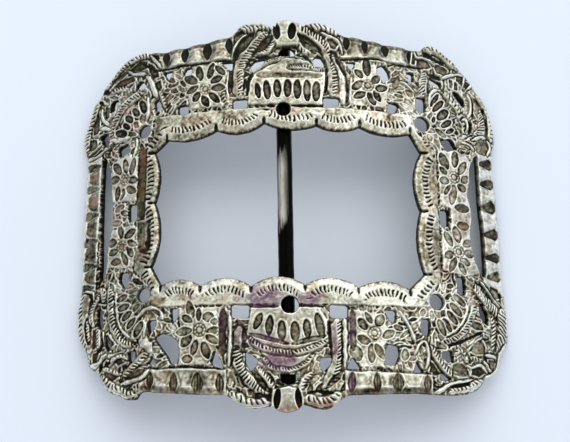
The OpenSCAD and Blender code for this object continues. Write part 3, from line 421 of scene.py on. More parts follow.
# Feathered ribbons, scrolls and plain ridges
BANDS = tuple(Band(width, rise, pairs(line), *ticks) for width, rise, line, *ticks in (
    # top left corner
    (1.5, 0.9, (-40.3, 14, -40.6, 16.5, -40.3, 18.8, -39.4, 21.4, -38.6, 23.6, -37.9, 25), 0.8, 0),
    (1.5, 0.9, (-37, 26.9, -35, 28.9, -33, 30.6, -30.6, 31.6, -28.2, 31.9, -26.9, 31.5), 0.8, 0),
    (0.7, 0.75, (-38, 25.3, -36.9, 24.6, -35.8, 23.6)),
    (0.7, 0.75, (-37.1, 23, -36.8, 21, -35.8, 19.8, -34.9, 18.6)),
    (0.6, 0.75, (-31.6, 29.6, -30, 28.5, -28.4, 28.1, -27.2, 27.7)),
    (1, 0.7, (-27.3, 27.4, -26.3, 26.2, -25.7, 24.6, -24.9, 22.8)),
    (0.7, 0.8, (-24.4, 23.8, -23.5, 21.6, -22.8, 19.4), 0.7),
    (0.6, 0.8, (-26.6, 31.6, -25.4, 30, -24.4, 28.6)), (1.1, 0.6, (-35, 26, -33.2, 26.2, -31.4, 26), 0.6),
    (1, 0.42, (-32.6, 19.4, -31.4, 21.2, -29.6, 22.5)),
    (1.7, 0.65, (-34.9, 16.9, -34, 19.4, -32.5, 21.7, -30.4, 23.2, -28.2, 24.2), 0.62, 0.1),
    (0.6, 0.6, (-26.9, 18.4, -26.6, 20.6, -26.9, 23)), (1, 0.6, (-34.8, 16, -33, 15.5, -30.6, 15.6)),
    (0.6, 0.7, (-37.4, 19, -36.2, 18.8, -35, 18.2)), (0.6, 0.7, (-39.9, 14.2, -38, 14.9, -36.8, 15.8)),
    (0.6, 0.7, (-40, 13.1, -37.8, 13.2, -35.6, 14.4, -34.4, 15.4)),
    (0.6, 0.6, (-29.4, 11.6, -28.8, 13.6, -28.9, 15)),
    # top right corner
    (1.6, 0.85, (26.6, 32.3, 28, 32.5, 29.8, 32, 31.6, 31, 33, 30), 0.8),
    (1.4, 0.8, (37.6, 25.6, 39, 23.7, 40, 21.6, 40.5, 19.2, 40.4, 16.8), 0.82, 0.5),
    (1.6, 0.7, (38.4, 22.4, 38.5, 19.4, 37.4, 17.2, 35.8, 15.6, 34.2, 14, 33.4, 13), 0.6, 0, 0.8),
    (0.6, 0.75, (24.4, 31.3, 24.8, 30.3, 26.2, 30.4, 27.4, 30.1, 28.6, 29.4)),
    (0.5, 0.6, (29.8, 27, 31.5, 28, 33.4, 28.7, 35.2, 28.9)),
    (0.5, 0.7, (34.9, 28.8, 34.6, 27.4, 34.3, 26.2)), (0.5, 0.7, (36.6, 27.6, 35.8, 26.6, 35, 25.8)),
    (0.6, 0.7, (35.4, 25.2, 36, 23.6, 35.9, 21.6, 35.2, 20.3)),
    (0.7, 0.65, (27, 21.2, 27.4, 23.3, 28.8, 24.4, 30.6, 24)),
    (1.4, 0.65, (30, 24.2, 31.8, 22.9, 33.1, 21, 33.9, 19.2, 34.5, 17.6, 34, 16), 0.85, 0.3),
    (0.6, 0.7, (33.8, 19.3, 34.7, 19.6, 35.1, 18.4, 34.6, 17.2)),
    (0.6, 0.7, (39.4, 16.8, 40, 15.2, 39.3, 13.4)), (0.6, 0.65, (36, 15.8, 37.8, 16.8, 39.2, 17)),
    (0.5, 0.6, (21, 24.8, 22.5, 24.4, 24, 23.2)), (0.5, 0.55, (21.4, 26.6, 22.4, 25.6, 24.4, 24.6)),
    (1.6, 0.7, (25.6, 22.9, 25.8, 25, 26.3, 27.2), 0.6, 0, 0.8),
    (0.6, 0.55, (33.8, 14.8, 35.4, 14.6, 36.2, 13.8)),
    # bottom left corner
    (2.6, 0.75, (-38.8, -14, -39.1, -17, -39, -20, -38.3, -22.4, -37.3, -24.6), 0.8, -0.7),
    (0.7, 0.8, (-37.8, -19, -37.8, -21, -37.3, -23.4), 0.62, 0),
    (1.5, 0.8, (-33.8, -29.8, -32.7, -31.2, -31.4, -32, -29.8, -32.4, -28.6, -33, -27.2, -33), 0.8),
    (1.3, 0.65, (-33.2, -13.6, -33, -17, -32.5, -20, -31.4, -22.2, -29.8, -23.9, -27.6, -24.4), 0.66),
    (0.45, 0.45, (-31.8, -14.6, -31.5, -18, -30.8, -20.6, -29.4, -22.4, -27.3, -23.6)),
    (1.3, 0.75, (-25, -25.8, -27.4, -28, -29.6, -30), 0.7),
    (0.9, 0.8, (-34.6, -14, -36, -15.6, -37, -17.4, -37, -19, -36.6, -20.2), 0.6, -0.2),
    (0.9, 0.8, (-35.5, -20.2, -35.1, -22.2, -35, -24.8), 0.62, -0.5),
    (0.5, 0.5, (-34.3, -21.6, -33.6, -23.8, -32.2, -25.6)),
    (0.7, 0.6, (-33.6, -25.9, -32, -26.1, -30, -25.6)),
    (0.8, 0.8, (-36.6, -27.8, -35.2, -27.6, -34.2, -26.6, -33.4, -25.8)),
    (0.6, 0.7, (-39.2, -13.6, -38.2, -13.6, -36.9, -14, -36.7, -15.4)),
    (0.7, 0.7, (-32.6, -28, -31.4, -26.6, -29.8, -26.3, -28.9, -26.8), 0.7),
    (0.6, 0.6, (-28, -20.4, -26.4, -18.7, -24.8, -17.8, -22.8, -18.5, -22.2, -20)),
    (1.9, 0.55, (-26, -22.6, -25.3, -24.2, -24.5, -25.4)), (0.6, 0.65, (-25.8, -23, -25.4, -20.4)),
    (0.8, 0.7, (-29.8, -31.2, -27.6, -30.7, -25.6, -30, -24.6, -28.8)),
    (0.7, 0.6, (-33.8, -28.4, -32, -28.9, -30, -29.5), 0.7),
    (1, 0.6, (-36, -13.4, -34.6, -14.2, -34.6, -15.8), 0.6),
    # bottom right corner
    (0.6, 0.85, (36.2, -12.2, 38.2, -14.6, 40.4, -17.2)),
    (1.6, 0.75, (34.8, -13, 36.6, -15, 38.4, -16.8, 40, -18.6), 0.62, 0, 0.7),
    (2.2, 0.85, (40.6, -17.4, 40.7, -20, 40.2, -22.6, 39, -24.9), 0.8, 0, -0.8),
    (1, 0.6, (38.4, -18.4, 38.6, -21, 38.2, -24.6), 0.7, 0, 0.8),
    (1.3, 0.65, (34.6, -16.6, 33.6, -19, 32.2, -21.2, 30.2, -22.9, 27.8, -23.8), 0.6),
    (0.5, 0.6, (33.3, -16.8, 32.3, -19.4, 30.6, -21.5, 28.4, -22.8)),
    (0.6, 0.75, (32.6, -25.2, 34, -23.6, 35.8, -22.6)), (0.5, 0.6, (32.8, -24.2, 34.4, -22.9)),
    (0.8, 0.7, (33, -26.4, 34.6, -26.6, 36.2, -27.2), 0.62, -0.2),
    (0.7, 0.75, (36.4, -25.8, 38.4, -26.1, 39, -27.2)), (0.6, 0.75, (36, -27, 37, -28.4, 37.9, -29.2)),
    (0.8, 0.7, (30, -26, 31.2, -25.2, 32.3, -26.2, 32.2, -28), 0.75),
    (1.3, 0.75, (25.4, -24.8, 26.8, -27, 28.2, -28.8, 29.6, -29.7), 0.65),
    (0.5, 0.7, (29.6, -29.7, 31.4, -30.1, 33.2, -30.3)),
    (0.7, 0.8, (25.9, -32.8, 27.4, -32.1, 28.8, -31.3, 31, -30.9, 34, -30.5)),
    (1.3, 0.8, (28.8, -32.5, 31.2, -32.1, 33.4, -31.5, 35.2, -30.5), 0.8),
    (0.8, 0.8, (41.2, -23.4, 39.6, -25.6, 39, -27.8, 37.8, -29.2, 36.2, -29.8)),
    (0.5, 0.55, (32.4, -27.8, 33.4, -28.2, 35.2, -27.7, 36.6, -29)),
    (0.6, 0.6, (22.4, -26.2, 23.2, -24.6, 24.4, -23.9, 25, -26, 24.4, -28.6)),
    (0.6, 0.6, (19.8, -18.8, 20.8, -20.2, 21.8, -22, 22.6, -24)),
    # top crest: lobes, ribbons, arms, and the flutes beside them
    (2, 1, (-9.4, 33.4, -8, 34.2, -6, 34.3, -3.2, 33.8), 0.8, -0.3),
    (2, 1, (3, 33.9, 5.4, 34.2, 7.6, 33.7, 9.4, 32.7), 0.85, 0, 0.55),
    (2, 0.95, (-9, 20.8, -9.2, 25, -8.8, 27, -7.7, 29, -6.2, 31, -4.9, 32.5, -4, 33), 0.62, -0.5),
    (0.6, 0.9, (-10.2, 28.6, -9.9, 30.2, -8.9, 31.9, -7.6, 33)),
    (2, 0.95, (8.5, 21, 8.4, 25, 7.9, 28, 6.7, 30.7, 4.8, 32.3, 2.5, 33.6), 0.62, -0.5),
    (0.7, 0.9, (6.4, 33.3, 7.6, 32.5, 9, 32, 9.9, 30.8, 10.3, 29.2)),
    (1.1, 0.9, (-5.8, 28.9, -3.8, 29.5, -2.6, 31, -2.2, 32.4), 0.7),
    (1.1, 0.9, (4.6, 28.8, 3.2, 29.5, 2, 30.8, 1.5, 32), 0.7),
    (1.2, 0.5, (10.3, 19.5, 10.3, 23, 9.9, 26, 8.6, 29)), (0.5, 0.5, (11.7, 19.6, 11.8, 22.6, 12, 24.6)),
    (0.9, 0.5, (-11.4, 19.6, -11.7, 21, -11.5, 22.4), 0.6), (0.5, 0.45, (-10.9, 20, -11.1, 23, -11, 25.6)),
    # bottom crest
    (1.8, 1, (-9.4, -33.2, -7.8, -34.2, -6, -34.7, -3.2, -34.6), 0.95, 0.2),
    (1.8, 1, (3, -33.9, 5, -34.5, 7.2, -34.4, 9, -33.2), 0.85, 0.2), (1.6, 0.7, (-8.3, -21.8, -8.4, -25.8)),
    (1.8, 0.95, (-8.7, -25.8, -8.2, -28.2, -7, -30.4, -5.2, -32, -3.6, -33), 0.56, 0, 0.2),
    (1.9, 0.75, (8.5, -20.8, 8.6, -24, 8.6, -27, 8, -29.6, 6.5, -32), 0.6, 0.75, 0.8),
    (1.2, 0.95, (-4.9, -28.9, -3.6, -30.4, -2.2, -32.2), 0.56),
    (1.2, 0.9, (4.4, -29.6, 2.9, -31, 2.3, -32.6), 0.6), (0.7, 0.7, (-9.9, -19.8, -9.8, -24, -10, -28.4)),
    (0.8, 0.8, (10, -20.6, 10.1, -24, 9.9, -28.8)),
    # caps of the cartouches
    (0.9, 0.6, (-5.8, 25.9, -4, 27.2, -1.6, 27.8), 0.5), (0.9, 0.6, (0.4, 26.2, 3.4, 26.3, 6.6, 25.7), 0.5),
    (1, 0.6, (-6.6, -23.8, -4.4, -25.4, 0, -26.4, 4, -25.7, 6.9, -24.3), 0.6),
    (0.8, 0.6, (-4.2, -27, -2.6, -28.8, 0.4, -29.2, 3, -28.3, 4.4, -26.8), 0.55),
))

# Sunk facets of the corner leaves and shells
FACETS = tuple(Facet(level, soot, pairs(corners)) for level, soot, corners in (
    # top left
    (0.6, 0.3, (-36.4, 26.6, -34.8, 28.4, -32.2, 29.6, -31.4, 29, -34, 27.2)),
    (0.4, 0.32, (-31.2, 29.6, -29, 30.9, -27.4, 30.6, -26.8, 29.2, -28.6, 28.8)),
    (0.4, 0.45, (-27, 30, -26.2, 29.6, -25, 28.2, -24.6, 26.8, -26, 26.6, -26.8, 28.2)),
    (0.5, 0.35, (-34.8, 27, -33, 28, -30.4, 28.2, -29.8, 27.2, -31.8, 26.6)),
    (0.5, 0.4, (-26.2, 31.4, -25, 31.2, -24.6, 30.4, -25.6, 30)),
    (0.4, 0.35, (-25.6, 25.6, -24.4, 26, -24, 24.4, -24.8, 24)),
    (0.4, 0.25, (-35.9, 25.4, -34.4, 25.2, -33, 24.4, -34.6, 24.4)),
    (0.4, 0.3, (-36.4, 23.4, -35.3, 22.8, -35.4, 20.8, -36.2, 20.8)),
    (0.5, 0.3, (-39, 22.6, -38, 23.6, -37.5, 20.6, -37.8, 18.2, -39, 18)),
    (0.5, 0.25, (-39.9, 17.2, -38.2, 17, -37.8, 15.4, -39.2, 14.2)),
    (0.5, 0.35, (-38.6, 13.4, -36.8, 14.6, -36, 14, -37.4, 12.9)),
    (0.45, 0.2, (-29.8, 18.6, -28.8, 18.4, -28.4, 17.2, -29.6, 17)),
    # top right
    (0.5, 0.3, (24, 31, 24.7, 30.6, 24.4, 28.7, 23.7, 28.7)),
    (0.6, 0.3, (24.8, 30, 26.9, 29.9, 27.6, 28.8, 26.8, 28.2, 24.6, 28.4)),
    (0.55, 0.34, (28.2, 29.4, 29.6, 29.8, 31.3, 29, 30.6, 27.8, 28.8, 27.8)),
    (0.6, 0.5, (33.2, 28.6, 34.6, 28.7, 34.2, 26.8, 33, 27)),
    (0.6, 0.5, (35.2, 27.8, 36.4, 27.3, 35.4, 26, 34.8, 26.4)),
    (0.5, 0.3, (31.4, 27.4, 32.2, 27.2, 32.2, 25.5, 31.4, 25.6)),
    (0.5, 0.35, (32.6, 27, 33.1, 26.8, 33.2, 25.4, 32.5, 25.4)),
    (0.6, 0.1, (36.6, 26.8, 37.6, 25.6, 36.8, 25, 36, 25.6)),
    (0.5, 0.18, (36.6, 24.8, 37.8, 24.4, 38.2, 22.6, 37.4, 20.6, 36.6, 22)),
    (0.6, 0.2, (36.4, 15.2, 38.8, 16.6, 39.9, 14.6, 38.6, 13, 36.8, 13.4)),
    # bottom left
    (0.5, 0.25, (-38.3, -13.8, -37.2, -14.2, -36.6, -16, -37.4, -17.4, -38.4, -16.4)),
    (0.5, 0.3, (-35.8, -15, -34.4, -14.4, -33.4, -15.6, -34, -16.4, -35.4, -16.2)),
    (0.4, 0.3, (-36.6, -21, -36, -21, -35.8, -24.6, -36.4, -24.6)),
    (0.5, 0.35, (-36.2, -25.6, -34.9, -25.3, -35.4, -27, -36.2, -27.2)),
    (0.5, 0.35, (-33.4, -26.8, -32.2, -27.4, -32.6, -28.4, -33.8, -28.2)),
    (0.5, 0.45, (-31.8, -27, -30.4, -26.7, -29.2, -27.4, -30.6, -28)),
    (0.5, 0.3, (-33.6, -28.9, -31, -28.9, -30.4, -30, -32, -31, -33.2, -30.2)),
    (0.5, 0.3, (-28.9, -30.2, -26.6, -28.7, -25.2, -28.6, -25.6, -29.8, -27.6, -30.6)),
    (0.45, 0.3, (-34, -22.4, -33.2, -22, -31.6, -24, -32.2, -24.8)),
    # bottom right
    (0.6, 0.3, (38.2, -12.8, 39.8, -13.2, 40.4, -14.8, 39.2, -15.2, 38, -14)),
    (0.5, 0.35, (33.6, -20.8, 34.4, -19.7, 36, -20, 36.2, -21.2, 34.6, -21.4)),
    (0.65, 0.22, (33, -25.2, 34.6, -23.8, 35.8, -23.2, 36.5, -24.4, 36.3, -25.6, 34.4, -25.8)),
    (0.55, 0.5, (33.2, -29.5, 33.5, -28.3, 35, -27.9, 36.3, -29, 34.8, -29.8)),
    (0.5, 0.25, (29.5, -27.8, 31, -27.3, 32.4, -28.4, 32.7, -29.7, 31, -29.5, 29.4, -28.7)),
    (0.5, 0.2, (30.6, -26.6, 31.4, -26, 31.7, -27, 30.9, -27.3)),
    (0.6, 0.3, (36.9, -26.6, 38.4, -26.8, 38, -28.6, 37, -27.8)),
    (0.4, 0.35, (25.3, -27.4, 26.6, -28.8, 26.3, -29.5, 25, -29.2)),
    (0.4, 0.2, (26.4, -23.6, 28.6, -24.6, 28.4, -25.2, 26.6, -25)),
))

# The facet beside the upper crest, cut after the ribbons
CREST_FACET = Facet(0.75, 0.2, pairs((7.4, 31.9, 8.5, 32, 9.5, 30.9, 9, 29.8, 8.1, 30)))

# Grooves that stay dark between the raised work
HOLLOWS = tuple(Hollow(width, floor, pairs(line)) for width, floor, line in (
    # slots' edges, the cartouche's cap, and the strips beside the lower flowers
    (1.4, -0.3, (32.6, 24.8, 33.5, 23.9, 34.4, 22.8)), (1.2, -0.3, (-35, 22.2, -34.6, 23.3, -33.8, 24)),
    (1, 0.15, (-5.6, 24.8, 0, 24.7, 6.4, 24.5)), (1.4, -0.06, (-11.2, -18.8, -11.2, -23, -11.1, -26.6)),
    (1.1, 0, (11.4, -19, 11.4, -22, 11.4, -25.6)),
    # top left corner
    (0.5, -0.15, (-28.2, 30.2, -27, 29.4, -26.4, 28.6)), (0.9, -0.1, (-36.8, 26.6, -35.6, 26.3)),
    (0.6, -0.1, (-38, 25, -37, 24.3)), (0.7, 0.05, (-33, 23.6, -31.4, 24.4, -29.8, 24.8)),
    (0.7, 0, (-35.2, 13, -34.2, 14.6, -33.6, 14.6)),
    # top right corner
    (0.8, -0.2, (26.2, 31.4, 28.2, 30.8, 30.4, 30)), (0.9, -0.2, (27.3, 27.3, 29.6, 26.9)),
    (0.35, -0.1, (36.4, 24.6, 36.5, 22.4, 36.3, 20)), (0.5, 0, (38.6, 22.8, 39.4, 20.4, 39.6, 17.6)),
    # bottom left corner
    (0.7, -0.1, (-34.2, -27.8, -34.6, -28.8)), (0.7, -0.1, (-35.6, -25.6, -34.4, -24.6)),
    # bottom right corner
    (0.5, -0.15, (29, -24.4, 31.4, -23.7, 33.6, -22.7, 36.2, -21.5)),
    (0.5, -0.1, (29, -31.7, 31, -31.4, 32.6, -31.1)), (0.9, -0.15, (25.8, -29.4, 26.8, -29.4)),
    (0.5, -0.15, (40.2, -14, 40.6, -15.2)),
    # beside the ribbons
    (0.8, -0.05, (-10.6, 21.6, -10.4, 25.5, -9.9, 28.6, -9.6, 29.6)),
    (0.5, -0.1, (-7.3, 21, -7.2, 23.6, -6.4, 25.4)), (0.5, -0.1, (-5.8, 28.3, -3.6, 28.3, -1.8, 28.7)),
    (0.5, -0.1, (2, 28.6, 3.6, 28.2, 4.6, 27.2)), (0.5, 0, (7.2, 21, 7.3, 24.6, 7.2, 26)),
    (0.4, -0.05, (11.1, 19.8, 11.2, 22.6, 10.9, 25)), (0.6, -0.15, (9.2, 28, 10, 26.4, 10.9, 24.8)),
    (0.35, -0.1, (7.3, -20.8, 7.5, -24.6, 7.6, -26.8)), (0.4, -0.2, (3.6, -33, 5, -32.8, 7.8, -33)),
    (0.5, 0, (-7.4, -21.8, -7.4, -25.6)),
    # seams that run along the rails and the rim
    (0.36, -0.1, (-26, 28.2, -22, 28, -19.6, 28.3, -17, 28, -13.8, 28.3, -10.4, 28)),
    (0.36, -0.05, (10, 28, 13.6, 28.4, 17, 28.7, 20.6, 28.2, 26, 28.2)),
    (0.32, -0.05, (-26, -28.4, -22.4, -28.7, -18, -28.4, -14.8, -28.7, -10.6, -28.9)),
    (0.32, 0, (10, -29.1, 13, -29.3, 16.4, -28.9, 20, -29.3, 25.6, -29.5)),
    (0.4, 0, (-7.2, 18.9, -2.2, 18.85)), (0.4, 0, (0.8, 18.7, 6.4, 18.6)), (0.4, 0, (2, -18.2, 6.6, -18.3)),
    (0.4, 0, (-6.2, -18.3, -1.4, -18.3)), (0.8, -0.1, (-25.8, -2.8, -25.7, -4.8, -26.2, -6)),
))

# The stained strip along the left of the rim, and the rough ground below it
STRIP: Line = ((-28.2, 12.6), (-26.5, 12.6), (-26.5, -1.4), (-28.2, -1.4))
ROUGH_GROUND: Line = ((-28, -1.6), (-25.2, -1.8), (-25, -6.2), (-25.8, -8), (-27.4, -7.4), (-28, -6))

SAGE, COPPER, VERDIGRIS, BROWN, OCHRE, OLIVE, PURPLE, PLUM, ROSE = Tarnish

# Patches of coloured tarnish
STAINS = tuple(Stain(*row) for row in (
    # left side: the strip beside the rim, and the rail
    (-27.4, 10.6, 0.7, 2.1, COPPER, 1), (-27.4, 7.6, 0.7, 1.6, BROWN, 1), (-27.4, 4.6, 0.7, 1.8, OCHRE, 1),
    (-27.4, 1.2, 0.7, 2.1, OLIVE, 1), (-38, 9, 1.1, 1, ROSE, 0.7), (-37.8, 4.3, 1.1, 1.1, ROSE, 0.9),
    (-31, 7.1, 1, 1, BROWN, 0.5), (-31, -5.9, 1, 1, BROWN, 0.6), (-26.2, -7.6, 1, 1.6, COPPER, 0.4),
    (-26.6, -4, 1.2, 1.8, OLIVE, 0.3), (-32, -8.6, 1.6, 0.8, OCHRE, 0.4), (-33, 0.4, 1, 1.6, ROSE, 0.4),
    # top left
    (-22, 31, 30, 8, SAGE, 0.24), (18, 31, 34, 8, SAGE, 0.24), (39.4, -26.8, 1.2, 3.4, SAGE, 0.7),
    (-34.6, 16.2, 1.2, 1, ROSE, 0.6), (-39, 14.4, 1.6, 1.6, OCHRE, 0.5), (-38.6, 20, 0.7, 3, OLIVE, 0.5),
    (-30.5, 29.6, 3.4, 0.9, OLIVE, 0.8), (-32, 27.4, 2.6, 0.8, BROWN, 0.6), (-31, 21.6, 1.8, 1, ROSE, 0.35),
    (-25.6, 30, 1, 2, OLIVE, 0.5), (-28.4, 17.8, 1.6, 1, ROSE, 0.5), (-24.6, 26, 1.2, 1.8, OLIVE, 0.5),
    # top
    (-5, 30.6, 0.9, 1.5, BROWN, 1), (-1, 27.3, 3.4, 0.6, OLIVE, 0.8), (0.5, 24.7, 6.6, 0.4, OLIVE, 0.7),
    (-16, 17, 3, 0.9, ROSE, 0.25), (-21.4, 30.2, 0.9, 1.2, BROWN, 0.5), (-13, 30.2, 1, 1.3, OLIVE, 0.4),
    (12.8, 30.2, 1.4, 1.6, OLIVE, 0.9), (16.6, 30, 1.5, 1.5, OLIVE, 0.9), (21, 30, 1.5, 1.4, OLIVE, 0.7),
    (20.6, 24.6, 0.8, 1.8, OLIVE, 0.6), (9.8, 22, 0.7, 2.4, ROSE, 0.2),
    # right side
    (26, 12.6, 1.2, 0.8, OCHRE, 0.7), (27.4, 4.8, 0.6, 2.2, OCHRE, 0.45), (27.6, -6, 0.4, 1.6, BROWN, 0.8),
    (33, 1.5, 1.4, 0.7, OLIVE, 0.8), (33.4, -2.4, 1.1, 1.3, OCHRE, 0.7), (36, -10.8, 1.6, 0.7, BROWN, 0.5),
    (37.7, 15.2, 1.3, 1, BROWN, 0.5), (29.7, 29, 1.4, 0.7, OLIVE, 0.6),
    # bottom left
    (-26.6, -15.8, 2.2, 2.4, VERDIGRIS, 0.9), (-23.4, -16.8, 1.7, 0.8, OCHRE, 0.9),
    (-34, -15.4, 1.2, 1, VERDIGRIS, 0.5), (-24.8, -19.2, 1.2, 0.6, OCHRE, 0.9),
    (-36.2, -23, 0.5, 2, COPPER, 0.6), (-35.4, -17, 0.8, 0.5, OCHRE, 0.6),
    (-30, -27.4, 1.8, 0.6, BROWN, 0.6), (-32.4, -29.6, 1.6, 0.8, BROWN, 0.5),
    (-27.6, -29.2, 2, 0.9, OCHRE, 0.6), (-24.2, -30.6, 0.6, 1.5, BROWN, 0.5),
    (-35.6, -26.2, 0.7, 0.9, BROWN, 0.7), (-21.6, -30, 0.8, 1, OCHRE, 0.4),
    # bottom
    (-3.8, -16.8, 3, 1.9, PURPLE, 1), (-8.5, -16.5, 1, 1, PURPLE, 0.5), (3.8, -17, 2.6, 1.1, PURPLE, 0.9),
    (-1.2, -27.8, 3.2, 1.5, PURPLE, 1), (-4, -24.4, 2.9, 1.4, PURPLE, 0.6),
    (-8.3, -23.6, 1.2, 2.5, PLUM, 1), (-11.2, -21.6, 0.7, 3, PLUM, 0.8), (-11.2, -25.4, 0.6, 2, BROWN, 0.6),
    (11.4, -22, 0.7, 3, PURPLE, 0.6), (8.3, -24, 0.8, 3.6, PURPLE, 0.6),
    (-4.5, -34.6, 1.6, 0.7, PURPLE, 0.5), (5.4, -35.9, 3.6, 1.8, COPPER, 1),
    (0.9, -36.3, 2.6, 1.8, COPPER, 1), (-1.5, -35.6, 1, 0.6, BROWN, 0.6),
    (-19.8, -31.2, 0.6, 1.6, ROSE, 0.5), (-15.5, -31.3, 0.9, 1.7, BROWN, 0.3),
    (-11.5, -31.3, 0.6, 1.5, BROWN, 0.3), (11.1, -31.1, 0.7, 1.7, PURPLE, 0.7),
    (19.2, -31.1, 0.9, 1.6, OLIVE, 0.6), (15.5, -31.2, 0.6, 1.6, BROWN, 0.4),
    (39, 11.8, 1.4, 0.7, BROWN, 0.6), (39, 7.9, 1.6, 0.7, OLIVE, 0.5), (39, 3.1, 1.8, 0.8, OLIVE, 0.5),
    (39.5, -2.4, 1.7, 0.7, BROWN, 0.5), (39.5, -7, 1.7, 0.6, OLIVE, 0.4), (39.6, -11, 1.4, 0.7, BROWN, 0.4),
    (13, -18, 2, 1, OLIVE, 0.6), (0.3, -25.2, 4, 0.5, BROWN, 0.4), (-22, -31, 1.5, 1.2, SAGE, 0.5),
    (-17.6, -31.2, 1.4, 1.2, SAGE, 0.6), (-13.5, -31.4, 1.3, 1.2, SAGE, 0.5),
    (13.3, -31.1, 1.5, 1.2, SAGE, 0.6), (17.3, -31.2, 1.4, 1.2, SAGE, 0.4),
    (22, -31.1, 1.7, 1.3, SAGE, 0.6),
    # bottom right
    (35, -25, 1.4, 0.9, OCHRE, 0.9), (27.6, -18.8, 0.5, 0.5, OCHRE, 0.8),
    (24.6, -31.2, 0.5, 1.4, ROSE, 0.7), (30.6, -28.4, 1.6, 1.2, OLIVE, 0.7),
    (34.8, -29, 1.6, 0.7, OLIVE, 0.6), (26.2, -28, 0.9, 1.6, OCHRE, 0.4), (31, -25.8, 1, 0.7, OLIVE, 0.4),
    (38, -14.6, 1.4, 2, OLIVE, 0.4),
))


def ramp(value: Array, start: float, end: float) -> Array:
    """Goes smoothly from 0 where the value is at start to 1 where it is at end."""
    share = np.clip((value - start) / (end - start), 0.0, 1.0)
    return share * share * (3.0 - 2.0 * share)


def blend(low: Array, high: Array | float, share: Array) -> Array:
    """Mixes two heights by a share between 0 and 1."""
    return low + (high - low) * share


def smooth_line(line: Line, steps: int = 6, closed: bool = False) -> Array:
    """Draws a smooth curve through the points of a line.

    Args:
        line: Points in plan.
        steps: Steps from each point to the next.
        closed: Whether the curve runs on from the last point to the first.

    Returns:
        An array of points, two columns.
    """
    p = np.array(line, dtype=float)
    if closed:
        p = np.vstack([p[-1:], p, p[:2]])
    else:
        p = np.vstack([2 * p[0] - p[1], p, 2 * p[-1] - p[-2]])
    t = (np.arange(steps) / steps)[:, None]
    spans = []
    for a, b, c, d in zip(p[:-3], p[1:-2], p[2:-1], p[3:]):
        spans.append(0.5 * (2 * b + (c - a) * t + (2 * a - 5 * b + 4 * c - d) * t ** 2
                            + (3 * b - a - 3 * c + d) * t ** 3))
    spans.append(p[-2:-1] if not closed else np.empty((0, 2)))
    return np.vstack(spans)


def lobed_edge(steps: int = 20) -> Array:
    """Draws the opening's edge: an arc from each nick to the next, or a straight cut where it has no swell.

    Args:
        steps: Steps along each lobe.

    Returns:
        An array of points, two columns.
    """
    spots = []
    for (ax, ay, swell), (bx, by, _) in zip(NICKS, NICKS[1:] + NICKS[:1]):
        a, b = np.array([ax, ay]), np.array([bx, by])
        half = np.linalg.norm(b - a) / 2
        if swell == 0:
            spots.append(a + (b - a) * np.linspace(0, 1, steps, endpoint=False)[:, None])
            continue
        radius = (half * half + swell * swell) / (2 * swell)
        across = np.array([a[1] - b[1], b[0] - a[0]]) / (2 * half)
        centre = (a + b) / 2 + across * (radius - swell)
        reach = math.asin(half / radius)
        middle = (a + b) / 2 - centre
        turn = math.atan2(middle[1], middle[0]) - reach * (1 - 2 * np.arange(steps) / steps)
        spots.append(centre + radius * np.column_stack([np.cos(turn), np.sin(turn)]))
    return np.vstack(spots)


def soften_corners(line: Line, share: float = 0.14) -> Array:
    """Cuts the corners of a closed outline off, as a saw and file leave it.

    Args:
        line: The corners.
        share: How much of each side the cut takes at either end.

    Returns:
        An array of points, two columns.
    """
    p = np.array(line, dtype=float)
    after = np.roll(p, -1, axis=0)
    return np.stack([p + (after - p) * share, p + (after - p) * (1 - share)], axis=1).reshape(-1, 2)


def round_outline(x: float, y: float, radius: float, turn: Array, way: float = 1.0) -> Array:
    """Places spots of a circle at some turns, the right way up or turned over."""
    return np.column_stack([x + radius * np.cos(turn), y + way * radius * np.sin(turn)])


def wrap_skin(rings: int, sides: int) -> Array:
    """Joins rings of spots, one after another, by faces of four corners.

    Args:
        rings: Number of rings.
        sides: Spots in each ring.

    Returns:
        The faces' spot numbers, four columns: two on a ring, then two on the next.
    """
    ring, spot = np.divmod(np.arange((rings - 1) * sides), sides)
    low, after = ring * sides, (spot + 1) % sides
    return np.column_stack([low + spot, low + after, low + sides + after, low + sides + spot])


def place_piece(name: str, mesh: Mesh, finish: Material) -> Piece:
    """Gives a mesh its finish and puts it into the scene as an object.

    Args:
        name: The object's name.
        mesh: Its mesh.
        finish: Its material.

    Returns:
        The new object.
    """
    mesh.materials.append(finish)
    piece = bpy.data.objects.new(name, mesh)
    bpy.context.collection.objects.link(piece)
    return piece


@dataclass(frozen=True)
class Arch:
    """The arched sheet that the ornament stands on, in mm."""

    radius: float = 60.0
    wall: float = 0.9
    foot_x: float = 40.5
    shift_x: float = -0.35
    shift_y: float = 0.45

    @property
    def crown(self) -> float:
        """Height of the ground at the middle over the surface that the buckle stands on."""
        return self.radius - math.sqrt((self.radius - self.wall) ** 2 - self.foot_x ** 2)

    def spots(self, x: Array, y: Array, radius: Array | float) -> Array:
        """Places plan spots on a cylinder about the arch's axis.

        Args:
            x: Plan x, in mm.
            y: Plan y, in mm.
            radius: Distance from the arch's axis, in mm.

        Returns:
            Coordinates in metres, on the last axis.
        """
        across = x + self.shift_x
        z = np.sqrt(radius * radius - across * across) - self.radius + self.crown
        return np.stack([across, y + self.shift_y, np.maximum(z, 0.0)], axis=-1) * MM

    def face(self, x: Array, y: Array, height: Array) -> Array:
        """Places spots of the face, at a height over the ground."""
        return self.spots(x, y, self.radius + height)

    def underside(self, x: Array, y: Array, dent: Array) -> Array:
        """Places spots of the underside, square behind the ground.

        Args:
            x: Plan x of the ground's spots, in mm.
            y: Plan y, in mm.
            dent: Height of small dents, in mm.

        Returns:
            Coordinates in metres, on the last axis.
        """
        inner = self.radius - self.wall
        behind = (x + self.shift_x) * inner / self.radius - self.shift_x
        return self.spots(behind, y, inner + dent)


